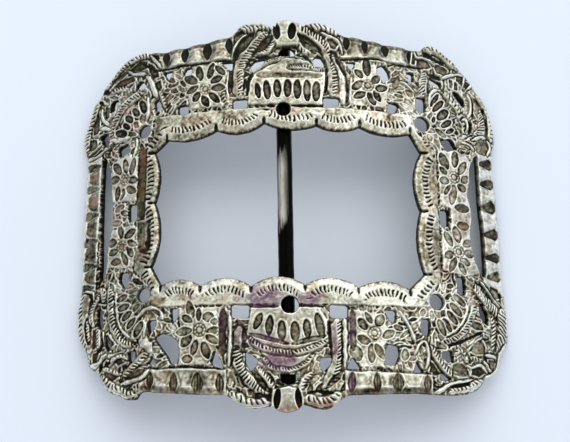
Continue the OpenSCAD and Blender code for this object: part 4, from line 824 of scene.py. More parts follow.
@dataclass
class Track:
    """What each spot near a line knows of it: distance, offset to its left, and way along it."""

    part: Part
    distance: Array
    offset: Array
    way: Array
    length: float

    def taper(self, start: float, end: float) -> Array:
        """Gives a share that falls off towards both ends of the line."""
        return ramp(np.minimum(self.way, self.length - self.way), start, end)


@dataclass
class Sheet:
    """An even grid of spots in plan, with what is drawn on it."""

    step: float = 0.13
    low: Point = (-42.2, -37.2)
    high: Point = (42.9, 36.4)
    x: Array = field(init=False)
    y: Array = field(init=False)

    def __post_init__(self) -> None:
        """Lays out the grid's columns and rows."""
        self.x = np.arange(self.low[0], self.high[0], self.step)
        self.y = np.arange(self.low[1], self.high[1], self.step)

    @property
    def shape(self) -> tuple[int, int]:
        """Rows and columns of the grid."""
        return len(self.y), len(self.x)

    def window(self, spots: Array, reach: float) -> Part:
        """Finds the rows and columns within reach of some spots.

        Args:
            spots: Spots in plan, two columns.
            reach: How far round them to look, in mm.

        Returns:
            The rows and the columns.
        """
        low, high = spots.min(axis=0) - reach, spots.max(axis=0) + reach
        cols = np.searchsorted(self.x, [low[0], high[0]])
        rows = np.searchsorted(self.y, [low[1], high[1]])
        return slice(*rows), slice(*cols)

    def near(self, part: Part = WHOLE) -> tuple[Array, Array]:
        """Gives plan x and y of a window, ready to combine with each other."""
        return self.x[None, part[1]], self.y[part[0], None]

    def track(self, line: Array, reach: float, closed: bool = False) -> Track:
        """Measures every spot near a line against it.

        Args:
            line: Points of the line, two columns.
            reach: How far from the line to look, in mm.
            closed: Whether the last point joins the first.

        Returns:
            The measures, in the smallest window that holds them.
        """
        rows, cols = self.window(line, reach)
        shape = rows.stop - rows.start, cols.stop - cols.start
        distance = np.full(shape, 10.0 * reach)
        offset = np.zeros(shape)
        way = np.zeros(shape)
        ends = np.vstack([line[1:], line[:1]]) if closed else line[1:]
        passed = 0.0
        for a, b in zip(line, ends):
            run = float(np.linalg.norm(b - a))
            if run == 0.0:
                continue
            heading = (b - a) / run
            near_rows, near_cols = self.window(np.array([a, b]), reach)
            x, y = self.near((near_rows, near_cols))
            ahead = (x - a[0]) * heading[0] + (y - a[1]) * heading[1]
            left = (y - a[1]) * heading[0] - (x - a[0]) * heading[1]
            far = np.hypot(ahead - np.clip(ahead, 0.0, run), left)
            part = (slice(near_rows.start - rows.start, near_rows.stop - rows.start),
                    slice(near_cols.start - cols.start, near_cols.stop - cols.start))
            nearer = far < distance[part]
            distance[part] = np.where(nearer, far, distance[part])
            offset[part] = np.where(nearer, np.where(left < 0, -far, far), offset[part])
            way[part] = np.where(nearer, passed + np.clip(ahead, 0.0, run), way[part])
            passed += run
        return Track((rows, cols), distance, offset, way, passed)

    def inside(self, outline: Array) -> Array:
        """Tells which spots of the whole grid lie inside a closed outline.

        Args:
            outline: Points of the outline, two columns.

        Returns:
            True for each spot inside it.
        """
        within = np.zeros(self.shape, dtype=bool)
        for a, b in zip(outline, np.roll(outline, -1, axis=0)):
            if a[1] == b[1]:
                continue
            rows = slice(*np.searchsorted(self.y, sorted([a[1], b[1]])))
            crossing = a[0] + (b[0] - a[0]) * (self.y[rows, None] - a[1]) / (b[1] - a[1])
            within[rows] ^= self.x[None, :] < crossing
        return within

    def depth_inside(self, outline: Array, reach: float = 4.0) -> Array:
        """Gives how deep inside a closed outline each spot of the whole grid lies, negative outside.

        Args:
            outline: Points of the outline, two columns.
            reach: The depth at which measuring stops, in mm.

        Returns:
            Depths in mm.
        """
        track = self.track(outline, reach, closed=True)
        distance = np.full(self.shape, reach)
        distance[track.part] = np.minimum(track.distance, reach)
        return np.where(self.inside(outline), distance, -distance)

    def oval_depth(self, oval: Oval, cut: Cut, reach: float) -> tuple[Part, Array]:
        """Gives how deep inside an oval each spot near it lies, negative outside.

        Args:
            oval: The oval.
            cut: How pointed it is.
            reach: How far outside it to look, in mm.

        Returns:
            The window, and depths in mm.
        """
        half = max(oval.length, oval.width) / 2
        part = self.window(np.array([[oval.x - half, oval.y - half], [oval.x + half, oval.y + half]]), reach)
        x, y = self.near(part)
        turn = math.radians(oval.turn)
        u = np.abs((x - oval.x) * math.cos(turn) + (y - oval.y) * math.sin(turn)) + 1e-6
        v = np.abs((y - oval.y) * math.cos(turn) - (x - oval.x) * math.sin(turn)) + 1e-6
        a, b, n = oval.length / 2, oval.width / 2, cut.value
        total = (u / a) ** n + (v / b) ** n
        q = total ** (1 / n)
        slope = q ** (1 - n) * np.hypot(u ** (n - 1) / a ** n, v ** (n - 1) / b ** n)
        return part, np.clip((1 - q) / slope, -2 * reach, b)

    def grain(self, size: float, seed: int) -> Array:
        """Draws soft random mottling over the whole grid.

        Args:
            size: Size of its blotches, in mm.
            seed: Seed of the draw.

        Returns:
            Numbers between -1 and 1.
        """
        draw = np.random.default_rng(seed)
        rows = (self.y - self.low[1]) / size
        cols = (self.x - self.low[0]) / size
        lattice = draw.uniform(-1, 1, (int(rows[-1]) + 3, int(cols[-1]) + 3))
        r, c = rows.astype(int), cols.astype(int)
        fr, fc = ramp(rows - r, 0, 1)[:, None], ramp(cols - c, 0, 1)[None, :]
        top = lattice[np.ix_(r + 1, c)] * (1 - fc) + lattice[np.ix_(r + 1, c + 1)] * fc
        bottom = lattice[np.ix_(r, c)] * (1 - fc) + lattice[np.ix_(r, c + 1)] * fc
        return bottom * (1 - fr) + top * fr

    def blur(self, values: Array, width: float) -> Array:
        """Softens a drawing by a bell curve.

        Args:
            values: The drawing.
            width: Width of the curve, in mm.

        Returns:
            The softened drawing.
        """
        reach = int(3 * width / self.step) + 1
        kernel = np.exp(-0.5 * (np.arange(-reach, reach + 1) * self.step / width) ** 2)
        kernel /= kernel.sum()
        for axis in (0, 1):
            padded = np.pad(values, [(reach, reach) if a == axis else (0, 0) for a in (0, 1)], mode="edge")
            size = values.shape[axis]
            values = sum(w * padded.take(range(i, i + size), axis=axis) for i, w in enumerate(kernel))
        return values


@dataclass
class Relief:
    """The chased face: heights over the ground, built up and cut back as a chaser would, and its soot, which
    also holds painted shade.
    """

    sheet: Sheet
    rim_level: float = 0.55
    rim_foot: float = 0.14
    panel_level: float = 0.45
    plaque_level: float = 0.36
    plate_level: float = 0.42
    petal_level: float = 0.54
    pit_floor: float = 0.06
    rail_level: float = 0.9
    rail_foot: float = 0.42
    knob_level: float = 1.15
    tick_depth: float = 0.34
    rim_tick: float = 0.88
    edge_round: float = 0.24
    eye_level: float = 0.3
    petal_floor: float = 0.22
    fan_floor: float = 0.16
    lens_floor: float = 0.1
    blade_floor: float = -0.1
    blade_soot: float = 0.95
    boss_level: float = 0.5
    boss_groove: float = 0.28
    boss_beads: int = 9
    nick_width: float = 0.6
    nick_floor: float = -0.05
    top_notch_floor: float = -0.1
    low_notch_floor: float = 0.25
    side_notch_floor: float = 0.1
    strip_level: float = 0.2
    leaf_gap: float = 1.45
    leaf_level: float = 0.34
    leaf_floor: float = 0.1
    leaf_seed: int = 21
    ground_soot: float = 0.12
    height: Array = field(init=False)
    soot: Array = field(init=False)
    wobble: Array = field(init=False)
    lumps: Array = field(init=False)
    metal: Array = field(init=False)

    def __post_init__(self) -> None:
        """Starts from a bare ground with a slightly beaten surface."""
        sheet = self.sheet
        self.height = 0.06 * sheet.grain(0.55, 3) + 0.05 * sheet.grain(1.3, 4)
        self.soot = np.full(sheet.shape, self.ground_soot)
        self.wobble = 0.09 * sheet.grain(0.8, 11) + 0.05 * sheet.grain(2.1, 12)
        self.lumps = 0.6 * sheet.grain(0.75, 13) + 0.4 * sheet.grain(1.7, 14)
        self.metal = self.cut_metal()

    def cut_metal(self) -> Array:
        """Gives how deep inside the metal each spot lies, negative in the openings and outside.

        Returns:
            Depths over the whole grid, in mm.
        """
        sheet = self.sheet
        depth = sheet.depth_inside(smooth_line(OUTLINE, 3, closed=True))
        holes = [lobed_edge()] + [soften_corners(w) for w in WINDOWS]
        holes += [smooth_line(s, 3, closed=True) for s in SLOTS]
        circle, arc = np.linspace(0, 2 * math.pi, 40, endpoint=False), np.linspace(0, math.pi, 24)
        holes += [round_outline(x, y, radius, circle) for x, y, radius in EYES]
        holes += [round_outline(x, y, radius, arc, way) for x, y, radius, way in HALF_MOONS]
        for hole in holes:
            depth = np.minimum(depth, -sheet.depth_inside(hole))
        return depth + 0.4 * self.wobble

    def depth_in(self, corners: Line, reach: float, rough: float = 1.0) -> Array:
        """Gives how deep inside some corners each spot lies, with a border as rough as hand work."""
        return self.sheet.depth_inside(np.array(corners, dtype=float), reach) + rough * self.wobble

    def raise_to(self, part: Part, level: Array | float, share: Array) -> None:
        """Lifts a window of the face to a level where it is lower, and rubs it clean there.

        Args:
            part: The window.
            level: The level, in mm.
            share: How much of the lift each spot gets.
        """
        now = self.height[part]
        self.soot[part] *= np.where(now < level, 1.0 - share, 1.0)
        self.height[part] = blend(now, np.maximum(now, level), share)

    def sink_to(self, part: Part, level: Array | float, share: Array) -> None:
        """Lowers a window of the face to a level where it is higher, by a share."""
        now = self.height[part]
        self.height[part] = blend(now, np.minimum(now, level), share)

    def soil(self, part: Part, soot: Array | float, share: Array) -> None:
        """Leaves soot on a window of the face, by a share, where there is less."""
        self.soot[part] = np.maximum(self.soot[part], soot * share)

    def panel(self, corners: Line, level: float, edge: float = 0.2) -> None:
        """Raises a flat panel with these corners, with a sloping border of some width."""
        self.raise_to(WHOLE, level, ramp(self.depth_in(corners, 1.0), -edge / 2, edge / 2))

    def dish(self, corners: Line, drop: float, soot: float, rough: float = 0.15) -> None:
        """Sinks a shallow dish, deeper inside its border, with a lumpy floor.

        Args:
            corners: Corners in plan.
            drop: How far it sinks, in mm.
            soot: The soot on its floor.
            rough: How uneven its floor and its soot are.
        """
        depth = self.depth_in(corners, 1.5, 0.5)
        self.height -= drop * (0.6 * ramp(depth, -0.05, 0.12) + 0.4 * ramp(depth, 0.0, 0.6))
        self.height += 0.3 * rough * self.lumps * ramp(depth, 0.0, 0.3)
        self.soil(WHOLE, soot - rough * self.lumps, ramp(depth, 0.0, 0.2))

    def facet(self, facet: Facet) -> None:
        """Sinks a facet inside a raised edge, darkest along its border.

        Args:
            facet: The facet.
        """
        part = self.sheet.window(np.array(facet.corners), 1.0)
        depth = self.depth_in(facet.corners, 1.5)[part]
        self.raise_to(part, facet.level + 0.15 * self.lumps[part], ramp(depth, -0.4, -0.2))
        self.sink_to(part, facet.level - 0.3 + 0.12 * np.clip(depth, 0, 1.2), ramp(depth, -0.1, 0.14))
        self.soil(part, facet.soot, ramp(depth, -0.05, 0.15))
        self.soil(part, facet.soot + 0.2, ramp(0.18 - np.abs(depth - 0.1), 0.0, 0.12))

    def ticks(self, part: Part, along: Array, spacing: float, share: Array) -> None:
        """Cuts a row of ticks across a window.

        Args:
            part: The window.
            along: A measure along the row, in mm.
            spacing: From one tick to the next, in mm.
            share: Where they are cut.
        """
        phase = (along + 2.2 * self.wobble[part]) / spacing
        off = np.abs(phase - np.round(phase)) * spacing
        cut = ramp(0.2 + 0.5 * self.wobble[part] - off, 0.0, 0.15) * share
        self.height[part] -= (0.04 * np.cos(2 * math.pi * phase) + 0.03) * share + self.tick_depth * cut
        self.soil(part, 0.6, cut)

    def band(self, band: Band) -> None:
        """Raises one ribbon or ridge with a rounded back, narrowed at its ends, and cuts its ticks.

        Args:
            band: The ribbon or ridge.
        """
        half = band.width / 2
        track = self.sheet.track(smooth_line(band.line), half + 1.0)
        part = track.part
        taper = track.taper(-0.5, 0.9)
        reach = half * (0.3 + 0.7 * taper) * (1.0 + 0.35 * self.lumps[part])
        away = track.distance + self.wobble[part]
        back = band.rise * (1.0 - 0.34 * np.clip(away / reach, 0, 1.3) ** 1.7) * (0.65 + 0.35 * taper)
        # The band's foot is sunk and darkened: tarnish in the crease, and painted shade at the foot of the
        # ridge
        foot = ramp(0.26 - np.abs(away - reach - 0.12), 0.0, 0.22)
        self.sink_to(part, self.pit_floor + 0.1, foot)
        self.soil(part, 0.16, foot)
        self.raise_to(part, back + 0.16 * self.lumps[part], ramp(reach - away, -0.1, 0.1))
        if band.tick:
            beside = np.abs(track.offset - band.side * half)
            cut_half = (0.62 if band.side else 0.78) * half
            share = ramp(cut_half - beside + 1.5 * self.wobble[part], -0.1, 0.12)
            share = share * ramp(reach - away, -0.1, 0.1)
            self.ticks(part, track.way + band.lean * track.offset, band.tick, share)
            dull = ramp(0.15 * half - track.offset * math.copysign(1.0, band.side), -0.3, 0.3)
            self.soil(part, 0.27 if band.side else 0.1, dull * ramp(reach - away, 0.0, 0.2))

    def hollow(self, hollow: Hollow) -> None:
        """Sinks one groove to its floor, sootier the lower that is.

        Args:
            hollow: The groove.
        """
        track = self.sheet.track(smooth_line(hollow.line), hollow.width / 2 + 0.5)
        inside = hollow.width / 2 * track.taper(-0.8, 0.8) - track.distance - self.wobble[track.part]
        self.sink_to(track.part, hollow.floor, ramp(inside, -0.12, 0.14))
        self.soil(track.part, 0.1 - 2.2 * hollow.floor, ramp(inside, -0.1, 0.12))

    def ring(self, oval: Oval, cut: Cut, level: float, width: float = 0.3) -> None:
        """Raises the lip round a sunk oval."""
        part, depth = self.sheet.oval_depth(oval, cut, width + 0.5)
        self.raise_to(part, level, ramp(depth + self.wobble[part], -width - 0.1, -width + 0.12))

    def pit(self, oval: Oval, cut: Cut, floor: float, soot: float, slope: float = 2.6) -> None:
        """Cuts a sunk oval with steep sides and a floor that swells a little in the middle.

        Args:
            oval: The oval.
            cut: How pointed it is.
            floor: Height of its floor, in mm.
            soot: The soot on its floor.
            slope: How steeply its sides fall.
        """
        part, depth = self.sheet.oval_depth(oval, cut, 0.6)
        depth = depth + 0.7 * self.wobble[part]
        swell = 0.07 * np.clip(depth / (oval.width / 2), 0, 1)
        self.sink_to(part, floor + swell + slope * np.maximum(0.1 - depth, 0.0), ramp(depth, -0.12, 0.05))
        self.soil(part, soot, ramp(depth, -0.06, 0.12))
        self.soil(part, soot + 0.2, ramp(0.14 - np.abs(depth - 0.1), 0.0, 0.1))

    @staticmethod
    def shade(x: float, y: float) -> float:
        """Gives the darkness of a sunk floor, by place: more towards the top, less down the right side."""
        return 0.21 + 0.007 * max(y - 4.0, 0.0) - (0.08 if x > 26 and abs(y) < 13 else 0.0)

    def flower(self, flower: Flower) -> None:
        """Raises the plate under a flower's petals.

        Args:
            flower: The flower.
        """
        part = self.sheet.window(np.array([[flower.x, flower.y]]), flower.plate + 1)
        x, y = self.sheet.near(part)
        away = np.hypot(x - flower.x, y - flower.y) + self.wobble[part]
        self.raise_to(part, self.plate_level, ramp(flower.plate - away, -0.15, 0.15))

    def boss(self, flower: Flower) -> None:
        """Raises a flower's small boss inside a groove and a ring of nine beads.

        Args:
            flower: The flower.
        """
        part = self.sheet.window(np.array([[flower.x, flower.y]]), flower.boss + 1)
        x, y = self.sheet.near(part)
        away = np.hypot(x - flower.x, y - flower.y) + 0.6 * self.wobble[part]
        beads = 0.5 + 0.5 * np.cos(self.boss_beads * np.arctan2(y - flower.y, x - flower.x))
        self.sink_to(part, self.boss_groove, ramp(1.2 * flower.boss - away, -0.1, 0.1))
        self.soil(part, 0.34, ramp(1.2 * flower.boss - away, -0.05, 0.1))
        on_ring = 0.24 - np.abs(away - 0.85 * flower.boss)
        self.raise_to(part, 0.34 + 0.24 * beads, 0.8 * ramp(on_ring, 0.0, 0.12))
        on_boss = 0.7 * ramp(0.45 * flower.boss - away, -0.1, 0.1)
        self.raise_to(part, self.boss_level + 0.1 * self.lumps[part], on_boss)

    def rim(self) -> None:
        """Raises the lobed band round the opening, cuts its row of ticks, and dulls it where it is dull."""
        edge = lobed_edge()
        track = self.sheet.track(edge, 4.8, closed=True)
        part = track.part
        x, y = self.sheet.near(part)
        away = track.distance + self.wobble[part]
        share = ramp(self.depth_in(RIM_EDGE, 4.0)[part], -0.1, 0.15)
        rise = (self.rim_level - self.rim_foot) * ramp(away, -0.3, 1.5)
        self.raise_to(part, self.rim_foot + rise - 0.1 * ramp(away, 1.9, 3.4), share)
        lobes = np.hypot(*(np.roll(edge, -1, axis=0) - edge).T).reshape(len(NICKS), -1).sum(axis=1)
        nick_ways = np.concatenate([[0.0], np.cumsum(lobes)])
        nick_counts = np.concatenate([[0.0], np.cumsum(np.round(lobes / self.rim_tick))])
        count = np.interp(track.way, nick_ways, nick_counts) + 0.5
        left = ramp(-x, 23, 25)
        middle = away - 2.0 + 0.5 * left
        reach = ramp(0.58 + 0.12 * left - np.abs(middle) + 0.2 * self.lumps[part], -0.08, 0.12)
        along = self.rim_tick * count + 0.3 * middle ** 2 + 0.2 * middle
        self.ticks(part, along, self.rim_tick, reach * share)
        mottle = np.maximum(self.lumps[part], 0.0)
        for soot, first, second in (
            (0.27, left, ramp(away, 0.5, 0.9)),
            (0.14, ramp(x, 22, 24), ramp(away, 0.3, 0.7)),
            (0.3, ramp(0.42 - away, 0.0, 0.2), ramp(np.abs(y), 13, 14)),
            (0.14 + 0.26 * mottle, ramp(away, 2.7, 3.1), ramp(x, 23, 25)),
            (0.32 + 0.3 * mottle, ramp(away, 2.3, 2.8), left),
            (0.08 + 0.3 * mottle, ramp(away, 2.5, 2.9), ramp(y, 12, 14)),
        ):
            self.soil(part, soot, share * first * second)

    def nicks(self) -> None:
        """Cuts a short groove outwards from each nick of the rim."""
        for x, y, _ in NICKS:
            out_x, out_y = (0.0, math.copysign(1.0, y)) if abs(x) < 23.5 else (math.copysign(1.0, x), 0.0)
            line = tuple((x + out_x * step, y + out_y * step) for step in (-0.3, 0.5, 1.0))
            self.hollow(Hollow(self.nick_width, self.nick_floor, line))

    def rail(self, rail: Rail, outer: Array) -> None:
        """Raises one rail: a bevel up from the outer edge, then a ridge that falls off inwards.

        Args:
            rail: The rail.
            outer: How deep inside the outline each spot lies, in mm.
        """
        depth = self.depth_in(rail.corners, 4.0, 0.5)
        level = np.where(outer < rail.bevel,
                         self.rail_foot + (self.rail_level - self.rail_foot) * outer / rail.bevel,
                         self.rail_level - 0.09 * np.clip(outer - rail.bevel, 0, 3))
        self.raise_to(WHOLE, level, ramp(depth, -0.1, 0.12))
        on_bevel = ramp(rail.bevel - outer, 0.0, 0.2) * ramp(depth, 0.0, 0.2)
        self.soil(WHOLE, rail.soot + 0.15 * self.lumps, on_bevel)

    def rails(self) -> None:
        """Raises the rails, dishes the facets of the bottom and side ones, and files all notches."""
        outer = self.sheet.depth_inside(smooth_line(OUTLINE, 3, closed=True)) + 0.6 * self.wobble
        for rail in RAILS:
            self.rail(rail, outer)
        for a, b in zip(RAIL_NOTCHES[:-1], RAIL_NOTCHES[1:]):
            gap = b.x - a.x
            if a.y < 0 and b.y < 0 and gap < 6.5:
                middle, ridge = (a.x + b.x) / 2, (a.y + b.y) / 2 - 0.2
                low, high = ridge + 2.4, ridge - 0.3
                self.dish(((middle - 0.5 * gap + 0.6, low), (middle + 0.5 * gap - 0.6, low),
                           (middle + 0.9, high), (middle - 0.9, high)), 0.24, 0.12, 0.2)
        for a, b in zip(SIDE_NOTCHES[:-1], SIDE_NOTCHES[1:]):
            if a.wide_x * b.wide_x > 0:
                self.side_dish(a, b)
        for notch in RAIL_NOTCHES:
            self.notch(notch)
        for wedge in SIDE_NOTCHES:
            self.wedge(wedge)

    def side_dish(self, upper: Wedge, lower: Wedge) -> None:
        """Dishes the facet between two notches of a side rail, deeper and darker on the left.

        Args:
            upper: The notch above it.
            lower: The notch below it.
        """
        middle, half = (upper.y + lower.y) / 2, abs(upper.y - lower.y) / 2
        outer_x, inner_x = upper.wide_x * 0.975, upper.narrow_x * 1.005
        bend_x = 0.7 * outer_x + 0.3 * inner_x
        drop, soot = (0.2, 0.34) if upper.wide_x < 0 else (0.06, 0.0)
        top, foot = middle + half, middle - half
        self.dish(((outer_x, top - 1.5), (bend_x, top - 0.7), (inner_x, top - 0.4),
                   (inner_x, foot + 0.4), (bend_x, foot + 0.7), (outer_x, foot + 1.5)), drop, soot)

    def notch(self, notch: Oval) -> None:
        """Files one notch across the top or bottom rail, with slopes that lead down into it.

        Args:
            notch: The notch's outline.
        """
        part, depth = self.sheet.oval_depth(notch, Cut.DIAMOND, 1.4)
        at_top = notch.y > 0
        depth = depth + 0.5 * self.wobble[part]
        self.height[part] -= 0.26 * ramp(depth, -1.0, 0.0)
        if at_top:
            self.height[part] -= 0.2 * ramp(depth, -1.4, -0.2)
        # Painted shade on the slopes down into the notch, mottled
        slope_shade = (0.3 if at_top else 0.2) + 0.5 * self.lumps[part]
        self.soil(part, slope_shade, ramp(depth, -1.2, -0.3) * (1 - 0.5 * ramp(depth, -0.3, -0.1)))
        floor = self.top_notch_floor if at_top else self.low_notch_floor
        self.sink_to(part, floor - 0.25 * depth, ramp(depth, -0.1, 0.16))
        x, _ = self.sheet.near(part)
        strokes = np.maximum(np.cos(13 * (x - notch.x) + 9 * self.wobble[part]), 0.0)
        soot = 0.75 + 0.2 * self.lumps[part] if at_top else 0.1 + 0.42 * strokes
        self.soil(part, soot, ramp(depth, -0.06, 0.12))
        self.soil(part, 0.5, ramp(0.16 - np.abs(depth - 0.05), 0.0, 0.1))

    def wedge(self, wedge: Wedge) -> None:
        """Files one wedge notch across a side rail, widest at the outer edge.

        Args:
            wedge: The notch.
        """
        ends = np.array([[wedge.wide_x, wedge.y], [wedge.narrow_x, wedge.y]])
        part = self.sheet.window(ends, 2.0)
        x, y = self.sheet.near(part)
        lumps = self.lumps[part]
        middle = wedge.y + (x - wedge.narrow_x) * math.tan(math.radians(wedge.turn))
        way = (x - wedge.narrow_x) / (wedge.wide_x - wedge.narrow_x)
        half = wedge.width / 2 * np.minimum(0.3 + 1.1 * np.clip(way, 0, 1.1), 2.4 - 1.9 * way)
        depth = np.minimum(half - np.abs(y - middle), (x - wedge.narrow_x) * math.copysign(1.0, wedge.wide_x))
        depth = depth + 0.5 * self.wobble[part]
        self.height[part] -= 0.26 * ramp(depth, -0.9, 0.0)
        self.sink_to(part, self.side_notch_floor - 0.15 * np.clip(depth, 0, 1), ramp(depth, -0.1, 0.16))
        soot = 0.24 + 0.4 * lumps if wedge.wide_x > 0 else 0.14 + 0.4 * np.maximum(lumps, 0.0)
        self.soil(part, soot, ramp(depth, -0.06, 0.12))

    def leafage(self) -> None:
        """Covers the ground with small chased leaves that fan out from the flowers and the eyes."""
        sheet, gap = self.sheet, self.leaf_gap
        draw = np.random.default_rng(self.leaf_seed)
        hubs = np.array([(f.x, f.y) for f in FLOWERS] + [(x, y) for x, y, _ in EYES[:4]])
        last_row, last_col = len(sheet.y) - 1, len(sheet.x) - 1
        for y in np.arange(-36, 36, gap):
            for x in np.arange(-41.5, 41.5, gap):
                spot = np.array([x, y]) + draw.uniform(-0.5, 0.5, 2) * gap
                length, width, turn, soot = draw.uniform((1.5, 0.65, -40, 0), (2.9, 1.2, 40, 0.42))
                row, col = np.searchsorted(sheet.y, spot[1]), np.searchsorted(sheet.x, spot[0])
                if min(row, col) < 1 or self.metal[min(row, last_row), min(col, last_col)] < -1:
                    continue
                away = spot - hubs[np.argmin(np.hypot(*(hubs - spot).T))]
                leaf = Oval(*spot, length, width, turn + math.degrees(math.atan2(away[1], away[0])))
                self.ring(leaf, Cut.PETAL, self.leaf_level, 0.2)
                self.pit(leaf, Cut.PETAL, self.leaf_floor, soot, 1.5)

    def strip(self) -> None:
        """Beats down the stained strip along the left of the rim, and the rough ground below it."""
        share = ramp(self.depth_in(STRIP, 1.0), -0.1, 0.12)
        self.sink_to(WHOLE, self.strip_level, share)
        self.soil(WHOLE, 0.3, share)
        self.soil(WHOLE, 0.5, ramp(0.2 - np.abs(self.depth_in(STRIP, 1.0, 0.5)), 0.0, 0.12))
        share = ramp(self.depth_in(ROUGH_GROUND, 1.0), -0.2, 0.3)
        self.sink_to(WHOLE, 0.12 + 0.3 * self.lumps, share)
        self.soil(WHOLE, 0.24 - 0.7 * self.lumps, share)

    def chase(self) -> None:
        """Works the whole face in the order of the craft: ground, panels, rim, bands, rails, pits, edges."""
        self.leafage()
        for corners in CARTOUCHES + SIDE_PANELS:
            self.panel(corners, self.panel_level)
        for corners in PLAQUES:
            self.panel(corners, self.plaque_level)
        for flower in FLOWERS:
            self.flower(flower)
        self.rim()
        self.nicks()
        self.rails()
        for facet in FACETS:
            self.facet(facet)
        for band in BANDS:
            self.band(band)
        self.facet(CREST_FACET)
        for corners in KNOBS:
            self.panel(corners, self.knob_level, 0.4)
        self.soil(WHOLE, 0.14, ramp(self.depth_in(KNOBS[0], 1.0, 0.0), 0.1, 0.5))
        self.sink_ovals()
        for hollow in HOLLOWS:
            self.hollow(hollow)
        self.strip()
        self.finish_surface()

    def sink_ovals(self) -> None:
        """Cuts the eyes' lips, the petals, the ovals of fans and cartouches, the bosses and the blades."""
        for x, y, radius in EYES:
            self.ring(Oval(x, y, 2 * radius, 2 * radius), Cut.ROUND, self.eye_level, 0.2)
        for oval in PETALS:
            petal = oval.grown(0.55, 0.4)
            self.ring(petal, Cut.PETAL, self.petal_level, 0.2)
            self.pit(petal, Cut.PETAL, self.petal_floor, self.shade(oval.x, oval.y))
        for oval in FAN_OVALS + CARTOUCHE_OVALS:
            self.ring(oval.grown(0.2, 0.2), Cut.ROUND, self.petal_level, 0.22)
            self.pit(oval.grown(0.2, 0.2), Cut.ROUND, self.fan_floor, self.shade(oval.x, oval.y) + 0.02)
        for flower in FLOWERS:
            self.boss(flower)
        for oval in LENSES:
            self.pit(oval, Cut.PETAL, self.lens_floor, self.shade(oval.x, oval.y) - 0.1)
        for blade in KNOB_BLADES:
            self.pit(blade, Cut.PETAL, self.blade_floor, self.blade_soot)

    def finish_surface(self) -> None:
        """Gives the face its fine unevenness, softens it, and rounds it off towards every edge."""
        self.height += 0.035 * self.sheet.grain(0.3, 5) + 0.04 * self.sheet.grain(0.7, 6)
        self.height = self.sheet.blur(self.height, 0.06)
        inset = np.clip(self.edge_round - self.metal, 0.0, self.edge_round)
        self.height -= self.edge_round - np.sqrt(self.edge_round ** 2 - inset ** 2)

    def patina_and_shade(self) -> Array:
        """Gives how dark each spot is: tarnish and wear, with painted shade in the recesses and by place; 0
        where worn bright, 1 in the deepest corners.

        Returns:
            Darkness over the whole grid.
        """
        sheet = self.sheet
        x, y = sheet.near()
        fine = np.clip(sheet.blur(self.height, 0.25) - self.height, -0.16, 0.2)
        broad = np.clip(sheet.blur(self.height, 0.9) - self.height, -0.25, 0.4)
        soot = sheet.blur(self.soot, 0.08)
        # Darker in hollows and at the feet of raised work, lighter on it: tarnish and wear, together with
        # painted shade in the recesses
        dark = 0.35 + 1.3 * fine + 0.9 * np.minimum(fine, 0) + 0.45 * broad + soot
        mottle = 0.22 * sheet.grain(0.36, 7) + 0.16 * sheet.grain(0.9, 8) + 0.12 * sheet.grain(3.6, 9)
        dark += mottle * (1.0 - 1.4 * np.clip(soot, 0.0, 0.4))
        # Painted shade by place: darker towards the left and on the right side; darker along the top rail; a
        # painted highlight along the lower rim
        right = 0.06 * ramp(x, 22, 26) * ramp(np.abs(y), 16, 12)
        dark += 0.06 * ramp(-x, -30, 30) + right + 0.05 * ramp(y, 26, 29)
        dark -= 0.04 * ramp(-y, 13.0, 14.0) * ramp(y, -18.0, -17.6)
        return np.clip(dark, 0.0, 1.0)

    def stains(self) -> Array:
        """Gives the colour of the stains over the whole face, with their strength in the fourth place.

        Returns:
            Red, green, blue and strength, on the last axis.
        """
        sheet = self.sheet
        x, y = sheet.near()
        colour = np.zeros(sheet.shape + (4,))
        ragged = 0.3 * sheet.grain(0.7, 10)
        speckle = 0.8 + 0.3 * sheet.grain(0.42, 16)
        for stain in STAINS:
            away = np.hypot((x - stain.x) / stain.half_x, (y - stain.y) / stain.half_y)
            share = stain.strength * speckle * ramp(1.35 - away + ragged, 0.0, 0.7)
            stronger = share > colour[..., 3]
            colour[stronger] = np.column_stack([np.broadcast_to(stain.tint.value, (stronger.sum(), 3)),
                                                share[stronger]])
        return colour


